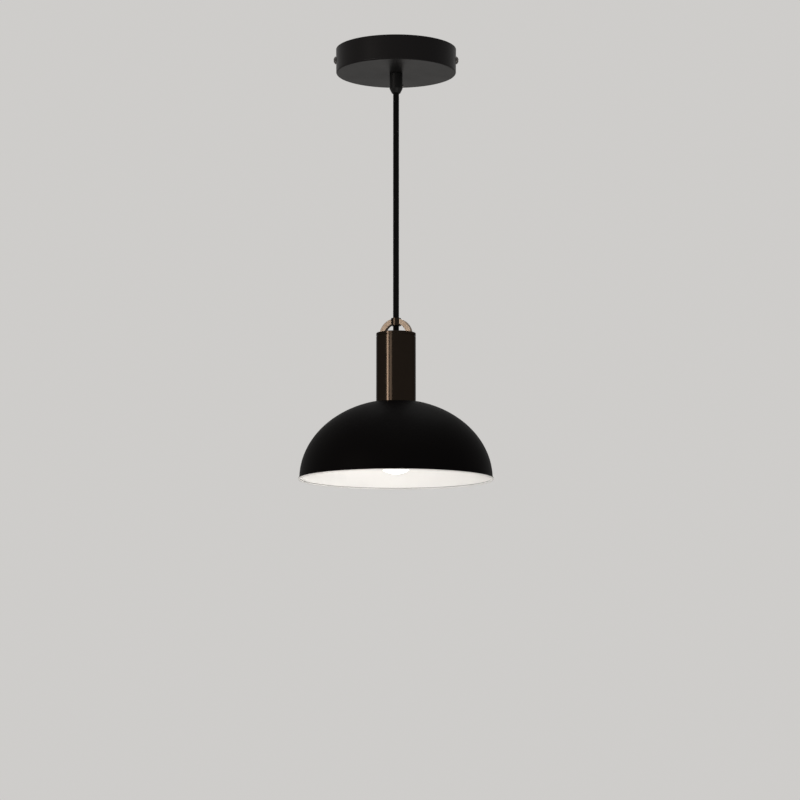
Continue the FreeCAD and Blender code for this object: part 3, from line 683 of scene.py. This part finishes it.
# -------- geometry trees
class GeometryTree(NodeSheet):
    """A Geometry Nodes tree with named inputs, from a geometry to a realised, dressed mesh."""

    def __init__(self, name: str, sizes: dict[str, float | int]) -> None:
        """Starts a tree.

        Args:
            name: The tree's name.
            sizes: Its named inputs, each with its usual value.
        """
        super().__init__(bpy.data.node_groups.new(name, "GeometryNodeTree"))
        face = self.tree.interface
        face.new_socket("Geometry", in_out="INPUT", socket_type="NodeSocketGeometry")
        self.sockets: dict[str, str] = {}
        for title, value in sizes.items():
            kind = "NodeSocketInt" if isinstance(value, int) else "NodeSocketFloat"
            socket = face.new_socket(title, in_out="INPUT", socket_type=kind)
            socket.default_value = value
            self.sockets[title] = socket.identifier
        socket = face.new_socket("Finish", in_out="INPUT", socket_type="NodeSocketMaterial")
        self.sockets["Finish"] = socket.identifier
        face.new_socket("Geometry", in_out="OUTPUT", socket_type="NodeSocketGeometry")
        self.start = self.node("NodeGroupInput")
        self.end = self.node("NodeGroupOutput")

    def size(self, title: str) -> NodeSocket:
        """The socket of one named input."""
        return self.start.outputs[title]

    def maths(self, operation: str, first: object, second: object = 0.0) -> Node:
        """Adds one Math node."""
        return self.node("ShaderNodeMath", {0: first, 1: second}, operation=operation)

    def plus(self, first: object, second: object) -> Node:
        """First plus second."""
        return self.maths("ADD", first, second)

    def minus(self, first: object, second: object) -> Node:
        """First minus second."""
        return self.maths("SUBTRACT", first, second)

    def times(self, first: object, second: object) -> Node:
        """First times second."""
        return self.maths("MULTIPLY", first, second)

    def over(self, first: object, second: object) -> Node:
        """First divided by second."""
        return self.maths("DIVIDE", first, second)

    def vector(self, operation: str, first: object, second: object) -> Node:
        """Adds one Vector Math node."""
        name = "Scale" if operation == "SCALE" else 1
        return self.node("ShaderNodeVectorMath", {0: first, name: second}, operation=operation)

    def close(self, geometry: object) -> None:
        """Ends the tree: smooth faces, real geometry, and its finish.

        Args:
            geometry: What the tree has made.
        """
        smooth = self.node("GeometryNodeSetShadeSmooth", {"Geometry": geometry})
        real = self.node("GeometryNodeRealizeInstances", {"Geometry": smooth})
        dressed = self.node("GeometryNodeSetMaterial", {"Geometry": real, "Material": self.size("Finish")})
        self.plug(self.end.inputs[0], dressed)

    def grown(self, base: Mesh, finish: Finish, **sizes: float | int) -> Mesh:
        """Runs the tree on a mesh.

        Args:
            base: The geometry that goes in.
            finish: The finish that the tree sets.
            **sizes: Values of the named inputs, with _ for a space.

        Returns:
            The result as a plain mesh.
        """
        carrier = placed("base", base)
        modifier = carrier.modifiers.new(self.tree.name, "NODES")
        modifier.node_group = self.tree
        modifier[self.sockets["Finish"]] = finish.material()
        for title, value in sizes.items():
            modifier[self.sockets[title.replace("_", " ")]] = value
        return evaluated(carrier)


class BraidTree(GeometryTree):
    """Two families of yarns that wind round a path and pass over and under each other."""

    SWELL = 0.36
    SUNK = 0.86

    def __init__(self) -> None:
        """Builds the tree."""
        super().__init__("braid_on_path", {
            "Radius": 3.1 * MM, "Pitch": 19.0 * MM, "Yarns": 10, "Samples": 700,
            "Yarn Width": 1.25 * MM, "Yarn Thickness": 0.42 * MM,
        })
        radius, thickness, count = self.size("Radius"), self.size("Yarn Thickness"), self.size("Yarns")
        path = self.node("GeometryNodeMeshToCurve", {"Mesh": self.start.outputs[0]})
        path = self.node("GeometryNodeResampleCurve", {"Curve": path, "Count": self.size("Samples")})
        copies = self.node("GeometryNodeDuplicateElements",
                           {"Geometry": path, "Amount": self.times(count, 2.0)}, domain="SPLINE")
        number = copies.outputs["Duplicate Index"]
        run = self.node("GeometryNodeSplineParameter").outputs["Length"]
        side = self.minus(self.times(self.maths("MODULO", number, 2.0), 2.0), 1.0)
        turns = self.over(run, self.size("Pitch"))
        share = self.over(self.maths("FLOOR", self.over(number, 2.0)), count)
        phase = self.plus(share, self.times(side, turns))
        angle = self.times(phase, math.tau)
        wave = self.maths("COSINE", self.times(self.times(turns, count), math.tau))
        swell = self.times(self.times(wave, side), self.times(thickness, self.SWELL))
        middle = self.minus(radius, self.times(thickness, self.SUNK))
        reach = self.plus(middle, swell)
        normal = self.node("GeometryNodeInputNormal").outputs["Normal"]
        tangent = self.node("GeometryNodeInputTangent")
        across = self.vector("CROSS_PRODUCT", tangent, normal)
        outward = self.vector(
            "ADD",
            self.vector("SCALE", normal, self.maths("COSINE", angle)),
            self.vector("SCALE", across, self.maths("SINE", angle)),
        )
        kept = self.node("GeometryNodeCaptureAttribute", {"Geometry": copies.outputs["Geometry"]},
                         domain="POINT")
        kept.capture_items.new("VECTOR", "Outward")
        self.plug(kept.inputs["Outward"], outward)
        moved = self.node("GeometryNodeSetPosition", {
            "Geometry": kept.outputs["Geometry"], "Offset": self.vector("SCALE", outward, reach)})
        turned = self.node("GeometryNodeSetCurveNormal", {
            "Curve": moved, "Normal": kept.outputs["Outward"]}, mode="FREE")
        ring = self.node("GeometryNodeCurvePrimitiveCircle", {
            "Resolution": 5, "Radius": 0.5}).outputs["Curve"]
        flat = self.node("ShaderNodeCombineXYZ", {
            "X": thickness, "Y": self.size("Yarn Width"), "Z": 1.0})
        section = self.node("GeometryNodeTransform", {"Geometry": ring, "Scale": flat})
        yarns = self.node("GeometryNodeCurveToMesh", {"Curve": turned, "Profile Curve": section})
        core_ring = self.node("GeometryNodeCurvePrimitiveCircle", {
            "Resolution": 24, "Radius": self.minus(radius, thickness)}).outputs["Curve"]
        spine = self.node("GeometryNodeResampleCurve", {"Curve": path, "Count": 60})
        core = self.node("GeometryNodeCurveToMesh", {
            "Curve": spine, "Profile Curve": core_ring, "Fill Caps": True})
        self.close(self.node("GeometryNodeJoinGeometry", {"Geometry": [yarns, core]}))


class DomeTree(GeometryTree):
    """Skin of an elliptical dome with a flat annular seat at its top."""

    SEAT_RINGS = 6

    def __init__(self) -> None:
        """Builds the tree."""
        super().__init__("dome_by_rule", {
            "Radius": 96.7 * MM, "Rise": 79.5 * MM, "Rim Level": Level.RIM, "Seat Level": Level.SEAT,
            "Hole": 19.0 * MM, "Segments": 192, "Rings": 72,
        })
        columns = self.plus(self.size("Segments"), 1.0)
        climb = self.over(self.minus(self.size("Seat Level"), self.size("Rim Level")), self.size("Rise"))
        top = self.maths("ARCSINE", climb)
        spot = self.node("ShaderNodeSeparateXYZ", {0: self.node("GeometryNodeInputPosition")})
        angle = self.times(self.plus(spot.outputs["X"], 0.5), math.tau)
        part = self.plus(spot.outputs["Y"], 0.5)
        lean = self.times(part, top)
        reach = self.times(self.size("Radius"), self.maths("COSINE", lean))
        climbed = self.times(self.size("Rise"), self.maths("SINE", lean))
        height = self.plus(self.size("Rim Level"), climbed)
        edge = self.times(self.size("Radius"), self.maths("COSINE", top))
        inward = self.plus(edge, self.times(part, self.minus(self.size("Hole"), edge)))
        skins = []
        bowl = (self.size("Rings"), reach, height)
        seat = (self.SEAT_RINGS, inward, self.size("Seat Level"))
        for rings, radius, level in (bowl, seat):
            grid = self.node("GeometryNodeMeshGrid", {
                "Size X": 1.0, "Size Y": 1.0, "Vertices X": columns, "Vertices Y": rings})
            place = self.node("ShaderNodeCombineXYZ", {
                "X": self.times(radius, self.maths("COSINE", angle)),
                "Y": self.times(radius, self.maths("SINE", angle)),
                "Z": level})
            skins.append(self.node("GeometryNodeSetPosition", {
                "Geometry": grid.outputs["Mesh"], "Position": place}))
        whole = self.node("GeometryNodeJoinGeometry", {"Geometry": skins})
        self.close(self.node("GeometryNodeMergeByDistance", {"Geometry": whole, "Distance": MERGE}))


# -------- sub-assemblies
@dataclass
class Canopy:
    """Shallow spun cup under the ceiling."""

    radius: float = 61.2 * MM
    draft: float = 0.2 * MM
    wall: float = 1.0 * MM
    corner: float = 1.5 * MM
    hole: float = 5.1 * MM
    edge: float = 0.18 * MM

    def build(self) -> None:
        """Makes the cup."""
        floor = Level.CANOPY_FLOOR
        side = self.radius - self.draft
        outline = eased([
            (self.hole, floor),
            (side, floor, self.corner),
            (self.radius, 0.0),
            (self.radius - self.wall, 0.0),
            (side - self.wall, floor + self.wall, self.corner - self.wall),
            (self.hole, floor + self.wall),
        ], True, self.edge)
        # The canopy's black is lightened as painted light.
        piece("canopy_cup", spun(outline, segments=192), Body.CEILING,
              [Finish.CANOPY_BLACK_AND_PAINTED_LIGHT], ["canopy"])


@dataclass
class CordGrip:
    """Gland under the canopy: nipple, round body and a short cone with a flared mouth."""

    radius: float = 6.6 * MM
    nose: float = 4.3 * MM
    nipple: float = 5.0 * MM
    nipple_length: float = 10.0 * MM
    bore: float = 3.1 * MM
    gap: float = 0.3 * MM
    gap_depth: float = 4.8 * MM
    flare: float = 0.65 * MM
    shoulder: float = 0.3 * MM
    edge: float = 0.12 * MM

    def build(self) -> None:
        """Makes the grip."""
        floor, end, mouth = Level.CANOPY_FLOOR, Level.GRIP_END, Level.GRIP_MOUTH
        shelf = mouth + self.gap_depth
        outline = eased([
            (self.bore, floor + self.nipple_length),
            (self.bore, shelf),
            (self.bore + self.gap, shelf),
            (self.bore + self.gap, Level.SWING_PIVOT),
            (self.bore + self.gap + self.flare, mouth),
            (self.nose, mouth, 0.1 * MM),
            (self.radius - self.shoulder, end, 0.3 * MM),
            (self.radius, end + 0.4 * MM, 0.2 * MM),
            (self.radius, floor - self.shoulder),
            (self.radius - self.shoulder, floor),
            (self.nipple, floor),
            (self.nipple, floor + self.nipple_length),
        ], True, self.edge)
        piece("grip_body", spun(outline, segments=96), Body.CEILING,
              [Finish.GRIP_BLACK], ["cord_grip"])


@dataclass
class BraidedCord:
    """Hanging textile cord, and its ends in the canopy and in the lamp."""

    radius: float = 3.1 * MM
    bend: float = 26.0 * MM
    route: tuple[float, ...] = (-40.8, -60.0, -110.0, -161.0, -212.0, -262.0, -281.1)
    lamp_route: tuple[float, ...] = (-282.7, -295.0, -320.0, -343.9)
    canopy_route: tuple[float, ...] = (-39.5, -32.0, -22.0, -14.0)
    samples: tuple[int, int, int] = (700, 190, 90)
    braid: BraidTree = field(default_factory=BraidTree)

    def line(self, heights: Sequence[float]) -> Mesh:
        """Points read from an open NURBS spline down the axis.

        Args:
            heights: Heights of its control points, in millimetres.

        Returns:
            A mesh line that follows the spline.
        """
        curve = bpy.data.curves.new("route", "CURVE")
        curve.dimensions = "3D"
        curve.resolution_u = 12
        spline = curve.splines.new("NURBS")
        spline.points.add(len(heights) - 1)
        for point, height in zip(spline.points, heights):
            point.co = (0.0, 0.0, height * MM, 1.0)
        spline.order_u = 3
        spline.use_endpoint_u = True
        return evaluated(placed("route", curve))

    def woven(self, heights: Sequence[float], samples: int) -> tuple[Mesh, list]:
        """Weaves the braid along part of the axis.

        Args:
            heights: Heights of the route's points, in millimetres.
            samples: Points along each yarn.

        Returns:
            The woven mesh and the points that it follows.
        """
        line = self.line(heights)
        points = [tuple(vertex.co) for vertex in line.vertices]
        mesh = self.braid.grown(line, Finish.CORD_YARN, Radius=self.radius, Samples=samples)
        return mesh, points

    def build(self) -> None:
        """Makes the cord and both ends."""
        hanging, in_lamp, in_canopy = self.samples
        mesh, points = self.woven(self.route, hanging)
        cord = piece("braided_cord", mesh, None, [Finish.CORD_YARN], ["cord"])
        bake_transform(cord)
        mesh, _ = self.woven(self.lamp_route, in_lamp)
        piece("cord_in_lamp", mesh, Body.LAMP, [Finish.CORD_YARN], ["cord_tail_lamp"])
        mesh, _ = self.woven(self.canopy_route, in_canopy)
        piece("cord_in_canopy", mesh, Body.CEILING, [Finish.CORD_YARN], ["cord_tail_top"])


@dataclass
class Yoke:
    """Arch on the cap, turned to one side, with a round boss through its crown."""

    outer: float = 17.1 * MM
    inner: float = 11.75 * MM
    depth: float = 5.4 * MM
    sink: float = 2.3 * MM
    turn: float = 21.5
    boss: float = 5.0 * MM
    boss_length: float = 7.8 * MM
    bore: float = 3.1 * MM
    mouth: float = 0.45 * MM
    throat: float = 0.3 * MM
    throat_depth: float = 0.6 * MM
    relief: float = 0.9 * MM
    relief_depth: float = 4.1 * MM
    ledge_depth: float = 4.45 * MM
    bevel: float = 0.4 * MM
    steps: int = 64

    def arch(self) -> Mesh:
        """The arch, as a bar of square section whose centre lies a little under the cap's top.

        Returns:
            The arch's mesh.
        """
        build = bmesh.new()
        half = self.depth / 2
        turn = Matrix.Rotation(math.radians(-self.turn), 3, "Z")
        section = ((self.outer, -half), (self.inner, -half), (self.inner, half), (self.outer, half))
        rows = []
        for step in range(self.steps + 1):
            row = []
            for radius, along in section:
                foot = math.asin(self.sink / radius)
                angle = foot + (math.pi - 2 * foot) * step / self.steps
                height = Level.CAP_TOP - self.sink + radius * math.sin(angle)
                row.append(build.verts.new(turn @ Vector((radius * math.cos(angle), along, height))))
            rows.append(row)
        for low, high in zip(rows, rows[1:]):
            for i in range(4):
                build.faces.new([low[i], low[(i + 1) % 4], high[(i + 1) % 4], high[i]])
        build.faces.new(rows[0])
        build.faces.new(rows[-1][::-1])
        bmesh.ops.recalc_face_normals(build, faces=build.faces)
        return meshed(build)

    def build(self) -> None:
        """Makes the arch and the boss."""
        def eased_edges(thing: Object) -> None:
            """Rounds the bar's long edges.

            Args:
                thing: The arch.
            """
            bevel = thing.modifiers.new("edge", "BEVEL")
            bevel.width = self.bevel
            bevel.segments = 4
            bevel.limit_method = "ANGLE"
            bevel.angle_limit = math.radians(50)
            bevel.harden_normals = True

        piece("yoke_arch", self.arch(), Body.LAMP, [Finish.YOKE_BRASS], ["yoke"], eased_edges)
        top, low = Level.YOKE_TOP, Level.YOKE_TOP - self.boss_length
        outline = eased([
            (self.bore, low),
            (self.boss, low, 0.35 * MM),
            (self.boss, top, 0.15 * MM),
            (self.bore + self.mouth, top),
            (self.bore + self.throat, top - self.throat_depth),
            (self.bore + self.relief, top - self.relief_depth, 0.02 * MM),
            (self.bore, top - self.ledge_depth, 0.02 * MM),
        ], True, 0.1 * MM)
        # The boss is the same brass as the arch, in its darker painted-shade copy.
        piece("yoke_boss", spun(outline, segments=72), Body.LAMP, [Finish.TUBE_BRASS_PAINTED_SHADE])


@dataclass
class TubeStack:
    """Cap with its shadow groove, the gland on it and the tube under it."""

    radius: float = 20.0 * MM
    wall: float = 1.0 * MM
    groove: float = 0.8 * MM
    groove_height: float = 1.0 * MM
    hole: float = 5.0 * MM
    plug_wall: float = 1.5 * MM
    plug_depth: float = 4.0 * MM
    cord_hole: float = 3.1 * MM
    gland: float = 5.9 * MM
    gland_top: float = 5.1 * MM
    gland_side: float = 1.4 * MM
    gland_height: float = 2.2 * MM

    def build(self) -> None:
        """Makes the cap, the gland and the tube."""
        top, floor, seat = Level.CAP_TOP, Level.CAP_FLOOR, Level.SEAT
        bore = self.radius - self.wall
        cap = eased([
            (self.hole, top),
            (self.radius, top, 0.5 * MM),
            (self.radius, floor + self.groove_height, 0.15 * MM),
            (self.radius - self.groove, floor + self.groove_height),
            (self.radius - self.groove, floor),
            (bore, floor),
            (bore, floor - self.plug_depth),
            (bore - self.plug_wall, floor - self.plug_depth),
            (bore - self.plug_wall, floor),
            (self.hole, floor),
        ], True, 0.1 * MM)
        # Cap and tube take the darker painted-shade copy of the yoke's brass.
        piece("cap_disc", spun(cap), Body.LAMP, [Finish.TUBE_BRASS_PAINTED_SHADE], ["tube_cap"])
        gland = eased([
            (self.cord_hole, top),
            (self.gland, top),
            (self.gland, top + self.gland_side, 0.3 * MM),
            (self.gland_top, top + self.gland_height, 0.3 * MM),
            (self.cord_hole, top + self.gland_height),
        ], True, 0.1 * MM)
        piece("cap_bush", spun(gland, segments=72), Body.LAMP,
              [Finish.GRIP_BLACK], ["cap_gland"])
        tube = eased([
            (bore, floor),
            (bore, seat),
            (self.radius, seat, 0.6 * MM),
            (self.radius, floor, 0.2 * MM),
        ], True, 0.1 * MM)
        piece("lamp_tube", spun(tube), Body.LAMP, [Finish.TUBE_BRASS_PAINTED_SHADE], ["holder_tube"])


@dataclass
class DomeShade:
    """Spun dome, black outside and white inside, with a rolled rim."""

    radius: float = 96.7 * MM
    rise: float = 79.5 * MM
    hole: float = 19.0 * MM
    sheet: float = 1.0 * MM
    bead: float = 1.07 * MM
    bead_steps: int = 20

    def build(self) -> None:
        """Makes the dome and its rolled rim."""
        seed = bpy.data.meshes.new("dome_seed")
        mesh = DomeTree().grown(seed, Finish.SHADE_BLACK_AND_PAINTED_SHADE, Radius=self.radius, Rise=self.rise, Hole=self.hole)
        build = bmesh.new()
        build.from_mesh(mesh)
        bmesh.ops.remove_doubles(build, verts=build.verts, dist=MERGE)
        build.faces.ensure_lookup_table()
        if build.faces[0].calc_center_median().dot(build.faces[0].normal * Vector((1, 1, 0))) < 0:
            bmesh.ops.reverse_faces(build, faces=build.faces)
        mesh = meshed(build)

        def walled(thing: Object) -> None:
            """Gives the skin its sheet thickness, white on the inside.

            Args:
                thing: The dome.
            """
            wall = thing.modifiers.new("sheet", "SOLIDIFY")
            wall.thickness = self.sheet
            wall.offset = -1.0
            wall.use_even_offset = True
            wall.material_offset = 1

        # The dome's outer black is darkened further as painted shade.
        piece("shade_dome", mesh, Body.LAMP, [Finish.SHADE_BLACK_AND_PAINTED_SHADE, Finish.SHADE_WHITE], ["shade"],
              walled)
        middle = self.radius * math.sqrt(1 - (self.bead / self.rise) ** 2)
        angles = [math.tau * step / self.bead_steps for step in range(self.bead_steps)]
        ring = [(middle + self.bead * math.cos(a), Level.RIM + self.bead * math.sin(a)) for a in angles]
        rim = spun(ring, segments=192)
        rim_piece = piece("shade_rim", rim, Body.LAMP, [Finish.SHADE_BLACK_AND_PAINTED_SHADE, Finish.SHADE_WHITE])
        for face in rim_piece.data.polygons:
            face.material_index = int(face.center.z < Level.RIM)


@dataclass
class GlobeBulb:
    """Opal globe and the collar above it."""

    radius: float = 22.5 * MM
    neck: float = 14.5 * MM
    wall: float = 1.0 * MM
    collar_waist: float = 11.9 * MM
    collar_step: float = 1.5 * MM
    spigot: float = 11.5 * MM
    spigot_height: float = 6.0 * MM

    def bowl(self, radius: float, neck: float, steps: int = 40) -> Outline:
        """Points from the bottom of a globe up to its neck.

        Args:
            radius: The globe's radius.
            neck: The neck's radius.
            steps: How many points.

        Returns:
            (radius, height) points.
        """
        centre = Level.BULB_BOTTOM + self.radius
        end = math.pi - math.asin(neck / radius)
        angles = [end * step / steps for step in range(steps + 1)]
        return [(radius * math.sin(a), centre - radius * math.cos(a)) for a in angles]

    def build(self) -> None:
        """Makes the globe and the collar."""
        outer = self.bowl(self.radius, self.neck)
        inner = self.bowl(self.radius - self.wall, self.neck - self.wall)
        outer[0], inner[0] = (0.0, outer[0][1]), (0.0, inner[0][1])
        globe = spun(outer + inner[::-1], closed=False, segments=128)
        piece("opal_globe", globe, Body.BULB, [Finish.OPAL], ["bulb_globe"])
        neck_level = outer[-1][1]
        collar = eased([
            (0.0, inner[-1][1]),
            (self.neck - self.wall, inner[-1][1]),
            (self.neck, neck_level),
            (self.neck + 0.3 * MM, neck_level + 1.2 * MM, 0.4 * MM),
            (self.neck - 0.2 * MM, Level.COLLAR, 0.5 * MM),
            (self.collar_waist, Level.COLLAR),
            (self.collar_waist, Level.COLLAR + self.collar_step),
            (self.spigot, Level.COLLAR + self.collar_step),
            (self.spigot, Level.COLLAR + self.spigot_height),
            (0.0, Level.COLLAR + self.spigot_height),
        ], False, 0.1 * MM)
        piece("bulb_neck", spun(collar, closed=False, segments=96), Body.BULB,
              [Finish.COLLAR_WHITE], ["bulb_collar"])


@dataclass
class Hardware:
    """Pieces whose CAD shape stays and which only take a finish."""

    finishes: dict[Finish, tuple[str, ...]] = field(default_factory=lambda: {
        Finish.ZINC: ("ceiling_bracket", "grip_washer", "grip_nut", "terminal_screws", "block_screw",
                      "earth_screw", "yoke_screw", "foot_screws", "threaded_tube", "cap_nut",
                      "cover_nut", "holder_terminal_screws"),
        Finish.SCREW_BLACK: ("canopy_screw_left", "canopy_screw_right", "grip_screw"),
        Finish.TERMINAL_WHITE: ("terminal_block", "contact_carrier"),
        Finish.CONTACT_BRASS: ("terminal_tubes", "earth_washer", "earth_tag", "screw_shell",
                               "centre_contact", "holder_terminals"),
        Finish.WIRE_BROWN: ("wire_live_top", "wire_live_lamp"),
        Finish.WIRE_BLUE: ("wire_neutral_top", "wire_neutral_lamp"),
        Finish.WIRE_EARTH: ("wire_earth_top", "wire_earth_lamp"),
        Finish.HOLDER_BLACK: ("holder_cover", "holder_skirt", "shade_ring"),
        Finish.BULB_ALLOY: ("bulb_cap", "bulb_tip"),
        Finish.BULB_BLACK_GLASS: ("bulb_insulator",),
    })

    def build(self, nodes: dict[str, Object]) -> None:
        """Gives each kept CAD node its finish.

        Args:
            nodes: The frame's nodes by name.
        """
        for finish, names in self.finishes.items():
            for name in names:
                for slot in nodes[name].material_slots:
                    slot.material = finish.material()
                log.info("%s: %s", name, finish.value.name)


# -------- studio
@dataclass(frozen=True)
class Softbox:
    """One area lamp that points at the middle of the light: metres, watts and a colour."""

    name: str
    place: tuple[float, float, float]
    width: float
    height: float
    power: float
    colour: Colour = (1.0, 1.0, 1.0)

    def build(self, target: Vector) -> None:
        """Hangs the lamp.

        Args:
            target: What it points at.
        """
        light = bpy.data.lights.new(self.name, "AREA")
        light.shape = "RECTANGLE"
        light.size, light.size_y = self.width, self.height
        light.energy = self.power
        light.color = self.colour
        thing = placed(self.name, light)
        thing.location = self.place
        thing.rotation_euler = (target - Vector(self.place)).to_track_quat("-Z", "Y").to_euler()


@dataclass
class Studio:
    """Floor, light and camera."""

    floor_level: float = -2.3
    paper: Colour = (1.0, 0.982, 0.958)
    ambient: float = 0.42
    backdrop: float = 0.62
    floor_glow: float = 0.32
    lens: float = 126.0
    stand: tuple[float, float, float] = (0.004, -2.786, -0.727)
    pitch: float = 7.497
    middle: tuple[float, float, float] = (0.0, 0.0, -0.22)
    softboxes: tuple[Softbox, ...] = (
        Softbox("strip_left", (-1.46, -1.26, -0.1), 0.3, 0.4, 10.0, (1.0, 0.93, 0.86)),
        Softbox("strip_fade", (-1.0, -1.65, -0.1), 0.42, 0.4, 2.6, (1.0, 0.93, 0.86)),
        Softbox("soft_top", (0.3, -0.6, 2.2), 2.4, 2.0, 20.0),
        Softbox("soft_low", (0.5, -1.6, -1.7), 1.6, 1.0, 14.0, (1.0, 0.96, 0.92)),
        Softbox("soft_back", (0.2, 1.3, 1.9), 1.6, 1.2, 11.0),
    )

    def shown(self, sheet: NodeSheet, strength: float) -> NodeSocket:
        """A strength that counts for what is seen or mirrored, and not as light.

        Args:
            sheet: The node tree that takes it.
            strength: The strength in a camera, glossy or transmission ray; elsewhere it is 0.

        Returns:
            The socket that gives it.
        """
        rays = sheet.node("ShaderNodeLightPath").outputs
        seen = rays["Is Camera Ray"]
        for kind in ("Is Glossy Ray", "Is Transmission Ray"):
            seen = sheet.node("ShaderNodeMath", {0: seen, 1: rays[kind]}, operation="MAXIMUM").outputs[0]
        return sheet.node("ShaderNodeMath", {0: seen, 1: strength}, operation="MULTIPLY").outputs[0]

    def sky(self) -> None:
        """Pale surroundings to look at, dimmer as a light."""
        world = bpy.data.worlds.new("studio")
        world.use_nodes = True
        sheet = NodeSheet(world.node_tree)
        seen = self.shown(sheet, self.backdrop - self.ambient)
        strength = sheet.node("ShaderNodeMath", {0: seen, 1: self.ambient}, operation="ADD")
        tone = sheet.node("ShaderNodeBackground", {"Color": self.paper, "Strength": strength})
        sheet.node("ShaderNodeOutputWorld", {"Surface": tone})
        bpy.context.scene.world = world

    def floor(self) -> None:
        """Pale floor, well below the light."""
        build = bmesh.new()
        bmesh.ops.create_grid(build, x_segments=2, y_segments=2, size=9.0)
        bmesh.ops.translate(build, vec=(0, 0, self.floor_level), verts=build.verts)
        mesh = meshed(build)
        shader = Shader("floor_pale")
        grain = shader.noise(0.12, 3.0)
        mesh.materials.append(shader.dress(
            Base_Color=shader.mixed(grain, (0.6, 0.59, 0.575), (0.64, 0.63, 0.615)),
            Roughness=0.9,
            Emission_Color=self.paper,
            Emission_Strength=self.shown(shader, self.floor_glow),
        ))
        thing = placed("studio_floor", mesh)

    def camera(self) -> None:
        """Camera that looks slightly up at the light."""
        data = bpy.data.cameras.new("camera")
        data.lens = self.lens
        data.sensor_width = 36.0
        data.clip_end = 50.0
        thing = placed("camera", data)
        thing.location = self.stand
        thing.rotation_euler = (math.radians(90.0 + self.pitch), 0.0, 0.0)
        bpy.context.scene.camera = thing

    def build(self) -> None:
        """Sets up the studio."""
        self.sky()
        self.floor()
        for softbox in self.softboxes:
            softbox.build(Vector(self.middle))
        self.camera()
        bpy.context.scene.view_settings.view_transform = "Standard"


def main() -> None:
    """Builds the light round its frame."""
    logging.basicConfig(level=logging.INFO, format="%(name)s %(message)s")
    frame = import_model()
    Studio().build()
    for part in (Canopy(), CordGrip(), BraidedCord(), Yoke(), TubeStack(), DomeShade(), GlobeBulb()):
        part.build()
    Hardware().build(frame["nodes"])


if __name__ == "__main__":
    main()
